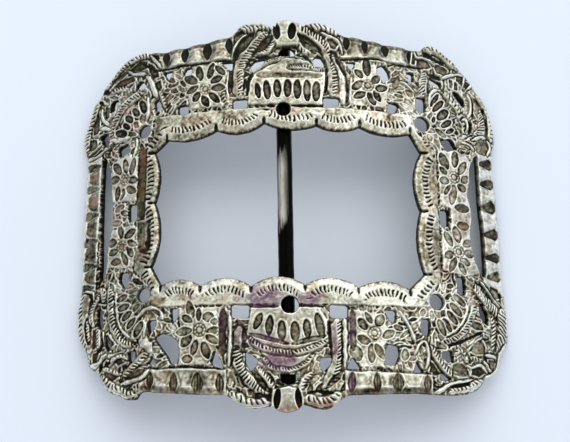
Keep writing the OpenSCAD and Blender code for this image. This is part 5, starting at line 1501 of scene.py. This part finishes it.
class Nodes:
    """A small helper that lays out the nodes of a material or of the room."""

    def __init__(self, holder: Holder, output: str = "ShaderNodeOutputMaterial") -> None:
        """Starts an empty node tree with its output.

        Args:
            holder: The material or world that the nodes belong to.
            output: The type of its output node.
        """
        self.holder = holder
        holder.use_nodes = True
        self.tree = holder.node_tree
        self.tree.nodes.clear()
        self.output = self.tree.nodes.new(output)

    def feed(self, socket: Socket, value: object) -> None:
        """Links a socket into an input, or sets the input to a value.

        Args:
            socket: The input.
            value: A socket, a number or a colour.
        """
        if isinstance(value, Socket):
            self.tree.links.new(value, socket)
        else:
            socket.default_value = value

    def add(self, kind: str, **settings: object) -> bpy.types.Node:
        """Adds a node, sets its properties, and sets or links its inputs.

        Args:
            kind: The node's type.
            **settings: Properties by name, and inputs by their name with spaces as underscores.

        Returns:
            The new node.
        """
        node = self.tree.nodes.new(kind)
        for name, value in settings.items():
            if hasattr(node, name) and not name[0].isupper():
                setattr(node, name, value)
            else:
                self.feed(node.inputs[name.replace("_", " ")], value)
        return node

    def math(self, operation: str, *values: object, clamp: bool = False) -> Socket:
        """Combines numbers or sockets by one operation.

        Args:
            operation: The operation's name.
            *values: Its numbers or sockets, in order.
            clamp: Whether the result is kept between 0 and 1.

        Returns:
            The result's socket.
        """
        node = self.add("ShaderNodeMath", operation=operation, use_clamp=clamp)
        for socket, value in zip(node.inputs, values):
            self.feed(socket, value)
        return node.outputs[0]

    def spread(self, value: Socket, **settings: object) -> Socket:
        """Maps one range of numbers, 0 to 1 unless set, onto another."""
        return self.add("ShaderNodeMapRange", Value=value, **settings).outputs[0]

    def steps(self, factor: Socket, stops: Stops) -> Socket:
        """Runs a number through a row of colours.

        Args:
            factor: The number's socket.
            stops: Place of each colour between 0 and 1, and the colour.

        Returns:
            The colour's socket.
        """
        node = self.add("ShaderNodeValToRGB", Fac=factor)
        elements = node.color_ramp.elements
        while len(elements) < len(stops):
            elements.new(0.5)
        for element, (place, colour) in zip(elements, stops):
            element.position = place
            element.color = (*colour, 1.0)
        return node.outputs["Color"]

    def noise(self, place: Socket, scale: float, detail: float, **settings: float) \
            -> Socket:
        """Lays out a soft random pattern: the higher its scale, the finer it is."""
        node = self.add("ShaderNodeTexNoise", Vector=place, Scale=scale, Detail=detail, **settings)
        return node.outputs["Fac"]

    def mix(self, factor: object, a: object, b: object) -> Socket:
        """Mixes two colours.

        Args:
            factor: Share of the second one, as a number or a socket.
            a: The first colour or its socket.
            b: The second colour or its socket.

        Returns:
            The mixed colour's socket.
        """
        node = self.add("ShaderNodeMix", data_type="RGBA")
        for index, value in ((0, factor), (6, a), (7, b)):
            self.feed(node.inputs[index], value)
        return node.outputs[2]

    def finish(self, shader: bpy.types.Node) -> Holder:
        """Joins the shader to the output and hands over what the nodes belong to."""
        self.tree.links.new(shader.outputs[0], self.output.inputs["Surface"])
        return self.holder


@dataclass(frozen=True)
class OldSilver:
    """Old silver: worn bright on the raised work, grey on the flats, olive black in the recesses."""

    bright: Colour = (0.85, 0.87, 0.76)
    worn: Colour = (0.565, 0.57, 0.455)
    dull: Colour = (0.225, 0.213, 0.14)
    tan: Colour = (0.60, 0.53, 0.40)
    brown: Colour = (0.22, 0.175, 0.11)
    black: Colour = (0.008, 0.007, 0.005)
    places: tuple[float, ...] = (0.12, 0.38, 0.62, 0.86)

    def material(self) -> Material:
        """Lays out the silver's nodes, led by the patina with its painted shade, and the stain, painted on
        the casting.

        Returns:
            The material.
        """
        n = Nodes(bpy.data.materials.new("old_silver"))
        place = n.add("ShaderNodeTexCoord").outputs["Object"]
        fleck = n.noise(place, 2600.0, 3.0, Roughness=0.65)
        cloud = n.noise(place, 420.0, 4.0, Roughness=0.6)
        patch = n.noise(place, 260.0, 3.0, Roughness=0.6)
        patina_and_shade = n.add("ShaderNodeAttribute", attribute_name="patina_and_shade").outputs["Fac"]
        stain = n.add("ShaderNodeAttribute", attribute_name="stain").outputs
        uneven = n.math("MULTIPLY", n.math("SUBTRACT", fleck, 0.5), 0.36)
        drift = n.math("MULTIPLY", n.math("SUBTRACT", cloud, 0.5), 0.34)
        dark = n.math("ADD", n.math("ADD", patina_and_shade, uneven), drift, clamp=True)
        silver = n.steps(dark, tuple(zip(self.places, (self.bright, self.worn, self.dull, self.black))))
        tawny = n.steps(dark, tuple(zip(self.places, (self.bright, self.tan, self.brown, self.black))))
        metal_colour = n.mix(n.spread(patch, From_Min=0.45, From_Max=0.62), silver, tawny)
        on_dark = n.math("ADD", n.math("MULTIPLY", dark, 0.5), 0.68)
        share = n.math("MULTIPLY", stain["Alpha"], on_dark, clamp=True)
        tint = n.add("ShaderNodeVectorMath", operation="SCALE", Vector=stain["Color"],
                     Scale=n.spread(dark, To_Min=2.0, To_Max=0.35)).outputs[0]
        tooth = n.add("ShaderNodeBump", Strength=0.35, Distance=0.00006, Height=fleck)
        return n.finish(n.add("ShaderNodeBsdfPrincipled", Base_Color=n.mix(share, metal_colour, tint),
                              Metallic=n.spread(dark, From_Min=0.55, To_Min=1.0, To_Max=0.55),
                              Roughness=n.spread(dark, To_Min=0.2, To_Max=0.55),
                              Specular_IOR_Level=0.15, Normal=tooth.outputs["Normal"]))


@dataclass(frozen=True)
class DarkSteel:
    """Dark polished steel, with a painted highlight and strap wear as a pale streak on the bar's upper
    middle; lengths in metres.
    """

    sheen_and_wear_from: float = -0.0022
    sheen_and_wear_to: float = 0.0096
    fade: float = 0.0016
    middle_x: float = -0.0011
    lean: float = 0.01745
    sheen_and_wear: Colour = (0.62, 0.61, 0.53)
    dark: Colour = (0.004, 0.0036, 0.003)

    def material(self) -> Material:
        """Lays out the steel's nodes.

        Returns:
            The material.
        """
        n = Nodes(bpy.data.materials.new("dark_steel"))
        place = n.add("ShaderNodeTexCoord").outputs["Object"]
        split = n.add("ShaderNodeSeparateXYZ", Vector=place).outputs
        along = split["Y"]
        across = n.math("SUBTRACT", split["X"], self.middle_x)
        across = n.math("ADD", across, n.math("MULTIPLY", along, self.lean))
        # Painted highlight: the pale streak keeps to the left side of the bar
        upper = n.spread(across, From_Min=-0.0004, From_Max=0.0012, To_Min=1.0, To_Max=0.0,
                         interpolation_type="SMOOTHSTEP")
        draw = n.add("ShaderNodeMapping", Vector=place, Scale=(3.0, 0.25, 3.0)).outputs[0]
        streak = n.noise(draw, 700.0, 4.0, Roughness=0.6)
        ragged = n.math("ADD", along, n.math("MULTIPLY", n.math("SUBTRACT", streak, 0.5), 0.012))
        rise = n.spread(ragged, From_Min=self.sheen_and_wear_from - self.fade, From_Max=self.sheen_and_wear_from + self.fade,
                        interpolation_type="SMOOTHSTEP")
        fall = n.spread(ragged, From_Min=self.sheen_and_wear_to - self.fade, From_Max=self.sheen_and_wear_to + self.fade,
                        To_Min=1.0, To_Max=0.0, interpolation_type="SMOOTHSTEP")
        # The pale streak: painted highlight and wear, between its two ends along the bar, broken by the
        # streaky noise
        worn = n.math("MULTIPLY", n.math("MULTIPLY", n.math("MULTIPLY", rise, fall), upper),
                      n.math("MULTIPLY_ADD", streak, 2.4, -0.35), clamp=True)
        tooth = n.add("ShaderNodeBump", Strength=0.3, Distance=0.00004, Height=streak)
        colour = n.mix(worn, (*self.dark, 1.0), (*self.sheen_and_wear, 1.0))
        return n.finish(n.add("ShaderNodeBsdfPrincipled", Base_Color=colour, Metallic=1.0,
                              Roughness=n.spread(streak, To_Min=0.18, To_Max=0.42),
                              Normal=tooth.outputs["Normal"]))


@dataclass(frozen=True)
class PaleCard:
    """The smooth pale card that the buckle lies on, with a faint unevenness."""

    colour: Colour = (0.77, 0.848, 0.955)
    lowest: float = 0.975

    def material(self) -> Material:
        """Lays out the card's nodes.

        Returns:
            The material.
        """
        n = Nodes(bpy.data.materials.new("pale_card"))
        place = n.add("ShaderNodeTexCoord").outputs["Object"]
        cloud = n.noise(place, 14.0, 3.0)
        low = tuple(self.lowest * c for c in self.colour)
        colour = n.mix(cloud, (*low, 1.0), (*self.colour, 1.0))
        return n.finish(n.add("ShaderNodeBsdfPrincipled", Base_Color=colour, Roughness=0.55))


# For each pattern of corners inside the metal, counted 1, 2, 4 and 8 anticlockwise from the lower left, the
# pieces of the square that are kept: 0 to 3 are its corners and 4 to 7 the cuts on its sides, from the bottom
KEPT = {
    1: ((0, 4, 7),), 2: ((4, 1, 5),), 3: ((0, 1, 5, 7),), 4: ((5, 2, 6),), 5: ((0, 4, 7), (5, 2, 6)),
    6: ((4, 1, 2, 6),), 7: ((0, 1, 2, 6, 7),), 8: ((7, 6, 3),), 9: ((0, 4, 6, 3),),
    10: ((4, 1, 5), (7, 6, 3)), 11: ((0, 1, 5, 6, 3),), 12: ((7, 5, 2, 3),), 13: ((0, 4, 5, 2, 3),),
    14: ((4, 1, 2, 3, 7),), 15: ((0, 1, 2, 3),),
}
WHOLE_SQUARE = 15


@dataclass
class Casting:
    """The silver casting, laid out as four closed quarters that meet along the middle lines.

    Each spot has its plan x and y, height, patina with painted shade, and the colour and strength of its
    stain.
    The underside joins block by block squares into one face; the underside's tone is partly tarnish and
    partly painted shade, and the walls darken to painted shade at their foot.
    """

    arch: Arch
    relief: Relief
    finish: OldSilver
    block: int = 4
    least_share: float = 0.12
    # Underside tone: partly tarnish, partly painted shade under the arch; wall tone: painted shade, near
    # black
    back_tarnish_and_shade: float = 0.62
    wall_shade: float = 1.2
    spots: Array = field(init=False)
    within: Array = field(init=False)
    silver: Material = field(init=False)

    def number_spots(self) -> tuple[Array, Array, Array]:
        """Numbers the grid spots inside the metal and the cuts where grid lines leave it.

        Returns:
            Numbers on the grid, on its horizontal steps and on its vertical steps, -1 where there is none.
        """
        sheet, metal = self.relief.sheet, self.relief.metal
        least = self.least_share * sheet.step
        metal = np.where(np.abs(metal) < least, least, metal)
        within = metal > 0
        grid = np.where(within, np.cumsum(within).reshape(within.shape) - 1, -1)
        x, y = np.meshgrid(sheet.x, sheet.y)
        planes = np.stack([x, y, self.relief.height, self.relief.patina_and_shade()], axis=-1)
        planes = np.concatenate([planes, self.relief.stains()], axis=-1)
        found = [planes[within]]
        count = int(within.sum())
        numbers = [grid]
        for near, far in ((np.s_[:, :-1], np.s_[:, 1:]), (np.s_[:-1, :], np.s_[1:, :])):
            cut = within[near] != within[far]
            share = (metal[near] / np.where(cut, metal[near] - metal[far], 1.0))[cut][:, None]
            found.append(planes[near][cut] * (1 - share) + planes[far][cut] * share)
            numbers.append(np.where(cut, count + np.cumsum(cut).reshape(cut.shape) - 1, -1))
            count += int(cut.sum())
        self.spots = np.vstack(found)
        self.within = within
        return tuple(numbers)

    def squares(self, grid: Array, across: Array, up: Array) -> tuple[Array, Array]:
        """Gives what each square of the grid is made of.

        Args:
            grid: Numbers of the grid spots.
            across: Numbers of the cuts on horizontal steps.
            up: Numbers of the cuts on vertical steps.

        Returns:
            Each square's pattern, and the numbers of its corners and side cuts.
        """
        corners = [grid[:-1, :-1], grid[:-1, 1:], grid[1:, 1:], grid[1:, :-1]]
        sides = [across[:-1], up[:, 1:], across[1:], up[:, :-1]]
        pattern = sum((c >= 0).astype(int) << i for i, c in enumerate(corners))
        return pattern, np.stack(corners + sides, axis=-1)

    def quarter_masks(self, shape: tuple[int, int]) -> dict[str, Array]:
        """Tells which squares belong to each quarter of the casting.

        Args:
            shape: Rows and columns of squares.

        Returns:
            The squares of each quarter, by the name of its piece.
        """
        sheet = self.relief.sheet
        left = np.broadcast_to((sheet.x[:-1] < 0)[None, :], shape)
        lower = np.broadcast_to((sheet.y[:-1] < 0)[:, None], shape)
        return {"frame_upper_left": left & ~lower, "frame_upper_right": ~left & ~lower,
                "frame_lower_left": left & lower, "frame_lower_right": ~left & lower}

    @staticmethod
    def face_polygons(pattern: Array, numbers: Array, mask: Array) -> list[Array]:
        """Gathers the polygons of some squares.

        Args:
            pattern: Pattern of each square.
            numbers: Corner and side numbers of each square.
            mask: The squares wanted.

        Returns:
            The polygons, grouped by how many corners they have.
        """
        groups: dict[int, list[Array]] = {}
        for case, pieces in KEPT.items():
            chosen = numbers[mask & (pattern == case)]
            for piece in pieces:
                groups.setdefault(len(piece), []).append(chosen[:, list(piece)])
        return [np.vstack(group) for group in groups.values()]

    def back_polygons(self, grid: Array, pattern: Array, numbers: Array, mask: Array) \
            -> tuple[list[Array], list[list[int]]]:
        """Gathers the polygons of the smooth underside, with whole blocks of squares joined into one.

        Args:
            grid: Numbers of the grid spots.
            pattern: Pattern of each square.
            numbers: Corner and side numbers of each square.
            mask: Squares of this quarter.

        Returns:
            Small polygons grouped by corner count, and the joined ones as lists of spot numbers.
        """
        size = self.block
        rows, cols = pattern.shape[0] // size, pattern.shape[1] // size
        full = (mask & (pattern == WHOLE_SQUARE))[:rows * size, :cols * size]
        full = full.reshape(rows, size, cols, size).all(axis=(1, 3))
        fine = mask.copy()
        fine[:rows * size, :cols * size] &= ~np.repeat(np.repeat(full, size, axis=0), size, axis=1)
        joined = []
        ringed = np.pad(full, 1)
        for r, c in zip(*np.nonzero(full)):
            low, left = r * size, c * size
            sides = (
                (grid[low, left:left + size], ringed[r, c + 1]),
                (grid[low:low + size, left + size], ringed[r + 1, c + 2]),
                (grid[low + size, left + size:left:-1], ringed[r + 2, c + 1]),
                (grid[low + size:low:-1, left], ringed[r + 1, c]),
            )
            outline: list[int] = []
            for side, joins in sides:
                outline.extend([int(side[0])] if joins else side.tolist())
            joined.append(outline)
        return self.face_polygons(pattern, numbers, fine), joined

    @staticmethod
    def open_edges(polygons: list[Array], count: int) -> Array:
        """Finds the directed edges that only one polygon of the face has.

        Args:
            polygons: The polygons, grouped by how many corners they have.
            count: More than the highest spot number.

        Returns:
            The edges' spot numbers, two columns.
        """
        edges = np.vstack([np.stack([group, np.roll(group, -1, axis=1)], axis=-1).reshape(-1, 2)
                           for group in polygons])
        codes = edges[:, 0] * count + edges[:, 1]
        turned = edges[:, 1] * count + edges[:, 0]
        return edges[~np.isin(codes, turned)]

    def quarter(self, name: str, face: list[Array], back: tuple[list[Array], list[list[int]]],
                facing: Array) -> Piece:
        """Builds one closed quarter.

        Args:
            name: The piece's name.
            face: Polygons of its face.
            back: Polygons of its underside.
            facing: Which way the whole face looks at each spot, for spots on the middle lines.

        Returns:
            The new object.
        """
        count = len(self.spots)
        edge = self.open_edges(face, count)
        small, joined = back
        walls = np.column_stack([edge[:, 0] + count, edge[:, 1] + count, edge[:, 1], edge[:, 0]])
        groups = [*face, *[g[:, ::-1] + count for g in small], walls]
        corners = np.concatenate([g.ravel() for g in groups]
                                 + [np.array(p[::-1], dtype=int) + count for p in joined])
        sizes = np.concatenate([np.full(len(g), g.shape[1]) for g in groups]
                               + [np.array([len(p) for p in joined], dtype=int)])
        used, corners = np.unique(corners, return_inverse=True)
        x, y, height = self.spots[:, :3].T
        dent = 0.03 * np.sin(x * 0.9 + 2 * np.sin(y * 0.37)) * np.cos(y * 0.8)
        places = np.vstack([self.arch.face(x, y, height), self.arch.underside(x, y, dent)])[used]
        mesh = bpy.data.meshes.new(name)
        mesh.vertices.add(len(used))
        mesh.vertices.foreach_set("co", places.ravel())
        mesh.loops.add(len(corners))
        mesh.loops.foreach_set("vertex_index", corners)
        mesh.polygons.add(len(sizes))
        mesh.polygons.foreach_set("loop_start", np.concatenate([[0], np.cumsum(sizes)[:-1]]))
        mesh.update(calc_edges=True)
        mesh.validate()
        self.mark_sharp(mesh, used, edge, count)
        self.paint(mesh, used, count)
        self.set_facing(mesh, used, edge, facing)
        return place_piece(name, mesh, self.silver)

    @staticmethod
    def mark_sharp(mesh: Mesh, used: Array, edge: Array, count: int) -> None:
        """Marks the crisp edges where the walls meet the face and the underside.

        Args:
            mesh: The quarter's mesh.
            used: Spot number of each of its vertices.
            edge: Spot numbers of the face's open edges.
            count: Number of spots on the face; the underside's numbers follow them.
        """
        place = np.full(2 * count, -1)
        place[used] = np.arange(len(used))
        ends = np.empty(2 * len(mesh.edges), dtype=int)
        mesh.edges.foreach_get("vertices", ends)
        ends = np.sort(ends.reshape(-1, 2), axis=1)
        rims = np.sort(np.vstack([place[edge], place[edge + count]]), axis=1)
        total = len(used)
        sharp = np.isin(ends[:, 0] * total + ends[:, 1], rims[:, 0] * total + rims[:, 1])
        mesh.attributes.new("sharp_edge", "BOOLEAN", "EDGE").data.foreach_set("value", sharp)

    def paint(self, mesh: Mesh, used: Array, count: int) -> None:
        """Writes patina, painted shade and stains on a quarter: painted shade down its walls, an even tone on
        its underside.

        Args:
            mesh: The quarter's mesh.
            used: Spot number of each of its vertices.
            count: Number of spots on the face; the underside's numbers follow them.
        """
        behind, on_face = used >= count, used % count
        x, y, _, patina_and_shade = self.spots[on_face, :4].T
        clouds = 0.1 * np.sin(x * 0.7 + np.sin(y * 0.5)) * np.sin(y * 0.6)
        tone = self.back_tarnish_and_shade + clouds + 0.15 * (patina_and_shade - 0.4)
        # Painted shade: the underside's edge spots are set near black so the walls darken to their foot; the
        # rest of the underside is partly tarnish, partly painted shade
        at_edge = behind & (on_face >= int(self.within.sum()))
        patina_and_shade = np.where(at_edge, self.wall_shade, np.where(behind, tone, patina_and_shade))
        mesh.attributes.new("patina_and_shade", "FLOAT", "POINT").data.foreach_set("value", patina_and_shade)
        stain = self.spots[on_face, 4:8].copy()
        stain[behind, 3] *= 0.3
        mesh.attributes.new("stain", "FLOAT_COLOR", "POINT").data.foreach_set("color", stain.ravel())

    def set_facing(self, mesh: Mesh, used: Array, edge: Array, facing: Array) -> None:
        """Gives the spots on the middle lines the direction of the whole face, so that no seam shows.

        Args:
            mesh: The quarter's mesh.
            used: Spot number of each of its vertices.
            edge: Spot numbers of the face's open edges.
            facing: Which way the whole face looks at each spot.
        """
        seam = np.intersect1d(edge[edge < int(self.within.sum())], used)
        normals = np.zeros((len(used), 3))
        normals[np.searchsorted(used, seam)] = facing[seam]
        mesh.normals_split_custom_set_from_vertices(normals.tolist())

    def facing(self, grid: Array) -> Array:
        """Works out which way the face looks at each of its grid spots.

        Args:
            grid: Numbers of the grid spots.

        Returns:
            A direction for each spot, zero for those beside the grid.
        """
        sheet = self.relief.sheet
        x, y = np.meshgrid(sheet.x, sheet.y)
        places = self.arch.face(x, y, self.relief.height)
        looks = np.cross(np.gradient(places, axis=1), np.gradient(places, axis=0))
        looks /= np.linalg.norm(looks, axis=-1, keepdims=True)
        out = np.zeros((len(self.spots), 3))
        out[grid[self.within]] = looks[self.within]
        return out

    def build(self) -> list[Piece]:
        """Builds and dresses the four quarters.

        Returns:
            The four objects.
        """
        self.silver = self.finish.material()
        grid, across, up = self.number_spots()
        pattern, numbers = self.squares(grid, across, up)
        facing = self.facing(grid)
        pieces = []
        for name, mask in self.quarter_masks(pattern.shape).items():
            face = self.face_polygons(pattern, numbers, mask)
            back = self.back_polygons(grid, pattern, numbers, mask)
            piece = self.quarter(name, face, back, facing)
            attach(piece, "root")
            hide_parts("frame")
            pieces.append(piece)
        return pieces


@dataclass
class Lugs:
    """The two lugs behind the crests, which hold the bar's ends; heights in mm over the ground."""

    arch: Arch
    silver: Material
    bar_x: float = -0.35
    bar_z: float = -2.45
    bar_skew: float = 1.0
    spans: tuple[Point, ...] = ((-35.6, -32.5), (31.7, 34.8))
    half_width: float = 2.4
    bottom: float = 2.2
    top: float = -0.3
    squareness: float = 0.42
    tone: float = 0.62
    steps: int = 40

    def squared(self, value: Array) -> Array:
        """Pushes a round profile out towards a block."""
        return np.sign(value) * np.abs(value) ** self.squareness

    def shape(self, name: str, low: float, high: float) -> Piece:
        """Builds one lug as a rounded block that grows out of the casting's back.

        Args:
            name: The piece's name.
            low: Plan y of its lower end, in mm.
            high: Plan y of its upper end, in mm.

        Returns:
            The new object.
        """
        floor = self.bar_z - self.bottom
        middle_y = (low + high) / 2
        middle_x = self.bar_x - math.tan(math.radians(self.bar_skew)) * middle_y
        centre = (middle_x + self.arch.shift_x, middle_y + self.arch.shift_y,
                  (self.top + floor) / 2 + self.arch.crown)
        half = (self.half_width, (high - low) / 2, (self.top - floor) / 2)
        turn = np.linspace(-math.pi, math.pi, 2 * self.steps, endpoint=False)
        tilt = np.linspace(-math.pi / 2, math.pi / 2, self.steps + 1)[1:-1, None]
        out, up = self.squared(np.cos(tilt)), self.squared(np.sin(tilt))
        rings = np.stack([out * self.squared(np.cos(turn)), out * self.squared(np.sin(turn)),
                          up + np.zeros(len(turn))], axis=-1)
        spots = np.vstack([rings.reshape(-1, 3), [[0, 0, -1], [0, 0, 1]]]) * half + centre
        sides = len(turn)
        foot, head, last = len(tilt) * sides, len(tilt) * sides + 1, (len(tilt) - 1) * sides
        faces = wrap_skin(len(tilt), sides).tolist()
        for c in range(sides):
            d = (c + 1) % sides
            faces += [(foot, d, c), (head, last + c, last + d)]
        mesh = bpy.data.meshes.new(name)
        mesh.from_pydata((spots * MM).tolist(), [], faces)
        mesh.polygons.foreach_set("use_smooth", [True] * len(faces))
        mesh.attributes.new("patina_and_shade", "FLOAT", "POINT").data.foreach_set("value", [self.tone] * len(spots))
        mesh.attributes.new("stain", "FLOAT_COLOR", "POINT").data.foreach_set("color", [0.0] * 4 * len(spots))
        return place_piece(name, mesh, self.silver)

    def build(self) -> list[Piece]:
        """Builds both lugs.

        Returns:
            The two objects.
        """
        pieces = []
        for name, (low, high) in zip(("lug_lower", "lug_upper"), self.spans):
            piece = self.shape(name, low, high)
            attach(piece, "root")
            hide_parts("frame")
            pieces.append(piece)
        return pieces


@dataclass
class Bar:
    """The steel bar, drawn by hand and so not quite even; its skew is in degrees."""

    arch: Arch
    finish: DarkSteel
    radius: float = 1.45
    depth: float = -2.45
    start_x: float = -0.35
    skew: float = 1.0
    bevel: float = 0.25
    ends: Point = (-34.4, 33.6)
    rings: int = 260
    sides: int = 56

    def build(self) -> Piece:
        """Builds the bar, with a slight waver and small bevels at its ends.

        Returns:
            The new object.
        """
        low, high = self.ends
        along = np.concatenate([[low], np.linspace(low + self.bevel, high - self.bevel, self.rings), [high]])
        radius = self.radius - 0.018 * (1 + np.sin(along * 0.55 + 0.8)) - 0.012 * (1 + np.sin(along * 1.7))
        radius[[0, -1]] -= self.bevel
        along, radius = along[:, None], radius[:, None]
        turn = np.linspace(0, 2 * math.pi, self.sides, endpoint=False)
        heading = -math.sin(math.radians(self.skew)), math.cos(math.radians(self.skew))
        x = self.start_x + self.arch.shift_x + heading[0] * along + heading[1] * radius * np.cos(turn)
        y = self.arch.shift_y + heading[1] * along - heading[0] * radius * np.cos(turn)
        z = self.arch.crown + self.depth + radius * np.sin(turn)
        spots = np.stack([x, y, z], axis=-1).reshape(-1, 3) * MM
        faces = wrap_skin(len(along), self.sides)[:, [0, 3, 2, 1]].tolist()
        faces.append(list(range(self.sides)))
        faces.append(list(range(len(spots) - 1, len(spots) - 1 - self.sides, -1)))
        mesh = bpy.data.meshes.new("strap_bar")
        mesh.from_pydata(spots.tolist(), [], faces)
        mesh.polygons.foreach_set("use_smooth", [True] * (len(faces) - 2) + [False] * 2)
        piece = place_piece("strap_bar", mesh, self.finish.material())
        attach(piece, "root")
        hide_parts("centre_bar")
        return piece


@dataclass
class Studio:
    """The pale card, soft lights and camera of the photograph's setting: the eye in mm, its turns in degrees.

    window_side and right_side say how much brighter the room is towards the window and the right.
    """

    card: PaleCard
    card_half: float = 0.9
    eye: tuple[float, float, float] = (1.68, -38.28, 163.74)
    tilt: float = -13.657
    roll: float = -0.902
    spin: float = 0.1616
    lens: float = 53.68
    film_width: float = 36.0
    nearest: float = 0.01
    sky: Stops = (
        (0.0, (0.44, 0.44, 0.52)), (0.4, (0.70, 0.69, 0.79)), (0.62, (1.0, 1.0, 1.0)),
        (0.84, (1.0, 0.99, 0.97)), (0.94, (0.62, 0.62, 0.62)), (1.0, (0.4, 0.4, 0.4)),
    )
    room_strength: float = 1.13
    window_side: float = 0.6
    right_side: float = 0.28
    key_power: float = 0.61
    key_size: float = 0.5
    key_colour: Colour = (0.96, 1.0, 0.95)
    key_place: tuple[float, float, float] = (-0.04, 0.30, 0.46)

    def lay_card(self) -> None:
        """Lays the card under the buckle."""
        h = self.card_half
        mesh = bpy.data.meshes.new("card")
        mesh.from_pydata([(-h, -h, 0), (h, -h, 0), (h, h, 0), (-h, h, 0)], [], [(0, 1, 2, 3)])
        card = place_piece("card", mesh, self.card.material())

    def light_room(self) -> None:
        """Sets a bright even room that is dimmer overhead, and brighter towards the window and the right."""
        world = bpy.data.worlds.new("room")
        bpy.context.scene.world = world
        n = Nodes(world, "ShaderNodeOutputWorld")
        place = n.add("ShaderNodeTexCoord").outputs["Generated"]
        split = n.add("ShaderNodeSeparateXYZ", Vector=place).outputs
        window = n.spread(split["Y"], From_Min=-1.0, To_Min=self.room_strength * (1.0 - self.window_side),
                          To_Max=self.room_strength * (1.0 + self.window_side))
        right = n.spread(split["X"], From_Min=-1.0, To_Min=1.0 - self.right_side,
                         To_Max=1.0 + self.right_side)
        n.finish(n.add("ShaderNodeBackground", Color=n.steps(split["Z"], self.sky),
                       Strength=n.math("MULTIPLY", window, right)))

    def hang_lamp(self) -> None:
        """Hangs one large soft lamp behind the buckle, turned towards it and unseen in its reflections."""
        lamp = bpy.data.lights.new("window_light", "AREA")
        lamp.energy = self.key_power
        lamp.size = self.key_size
        lamp.color = self.key_colour
        lamp_object = bpy.data.objects.new("window_light", lamp)
        lamp_object.location = self.key_place
        lamp_object.rotation_euler = Vector(self.key_place).to_track_quat("Z", "Y").to_euler()
        lamp_object.visible_glossy = False
        bpy.context.collection.objects.link(lamp_object)

    def set_camera(self) -> None:
        """Puts the camera where the photograph was taken from."""
        turns = [Matrix.Rotation(math.radians(angle), 3, axis)
                 for angle, axis in ((self.spin, "Z"), (self.roll, "Y"), (self.tilt, "X"))]
        turn = (turns[0] @ turns[1] @ turns[2]).transposed()
        lens = bpy.data.cameras.new("camera")
        lens.lens = self.lens
        lens.sensor_width = self.film_width
        lens.clip_start = self.nearest
        camera = bpy.data.objects.new("camera", lens)
        camera.matrix_world = Matrix.Translation(Vector(self.eye) * MM) @ turn.to_4x4()
        bpy.context.collection.objects.link(camera)
        bpy.context.scene.camera = camera

    def build(self) -> None:
        """Sets up the card, the light and the camera."""
        self.lay_card()
        self.light_room()
        self.hang_lamp()
        self.set_camera()
        bpy.context.scene.view_settings.view_transform = "Standard"


def main() -> None:
    """Builds the buckle piece by piece and reports each."""
    logging.basicConfig(level=logging.INFO, format="%(message)s")
    arch = Arch()
    relief = Relief(Sheet())
    relief.chase()
    casting = Casting(arch, relief, OldSilver())
    for piece in casting.build():
        LOG.info("%s: %d faces", piece.name, len(piece.data.polygons))
    for piece in Lugs(arch, casting.silver).build():
        LOG.info("%s: %d faces", piece.name, len(piece.data.polygons))
    bar = Bar(arch, DarkSteel()).build()
    LOG.info("%s: %d faces", bar.name, len(bar.data.polygons))
    Studio(PaleCard()).build()


if __name__ == "__main__":
    main()
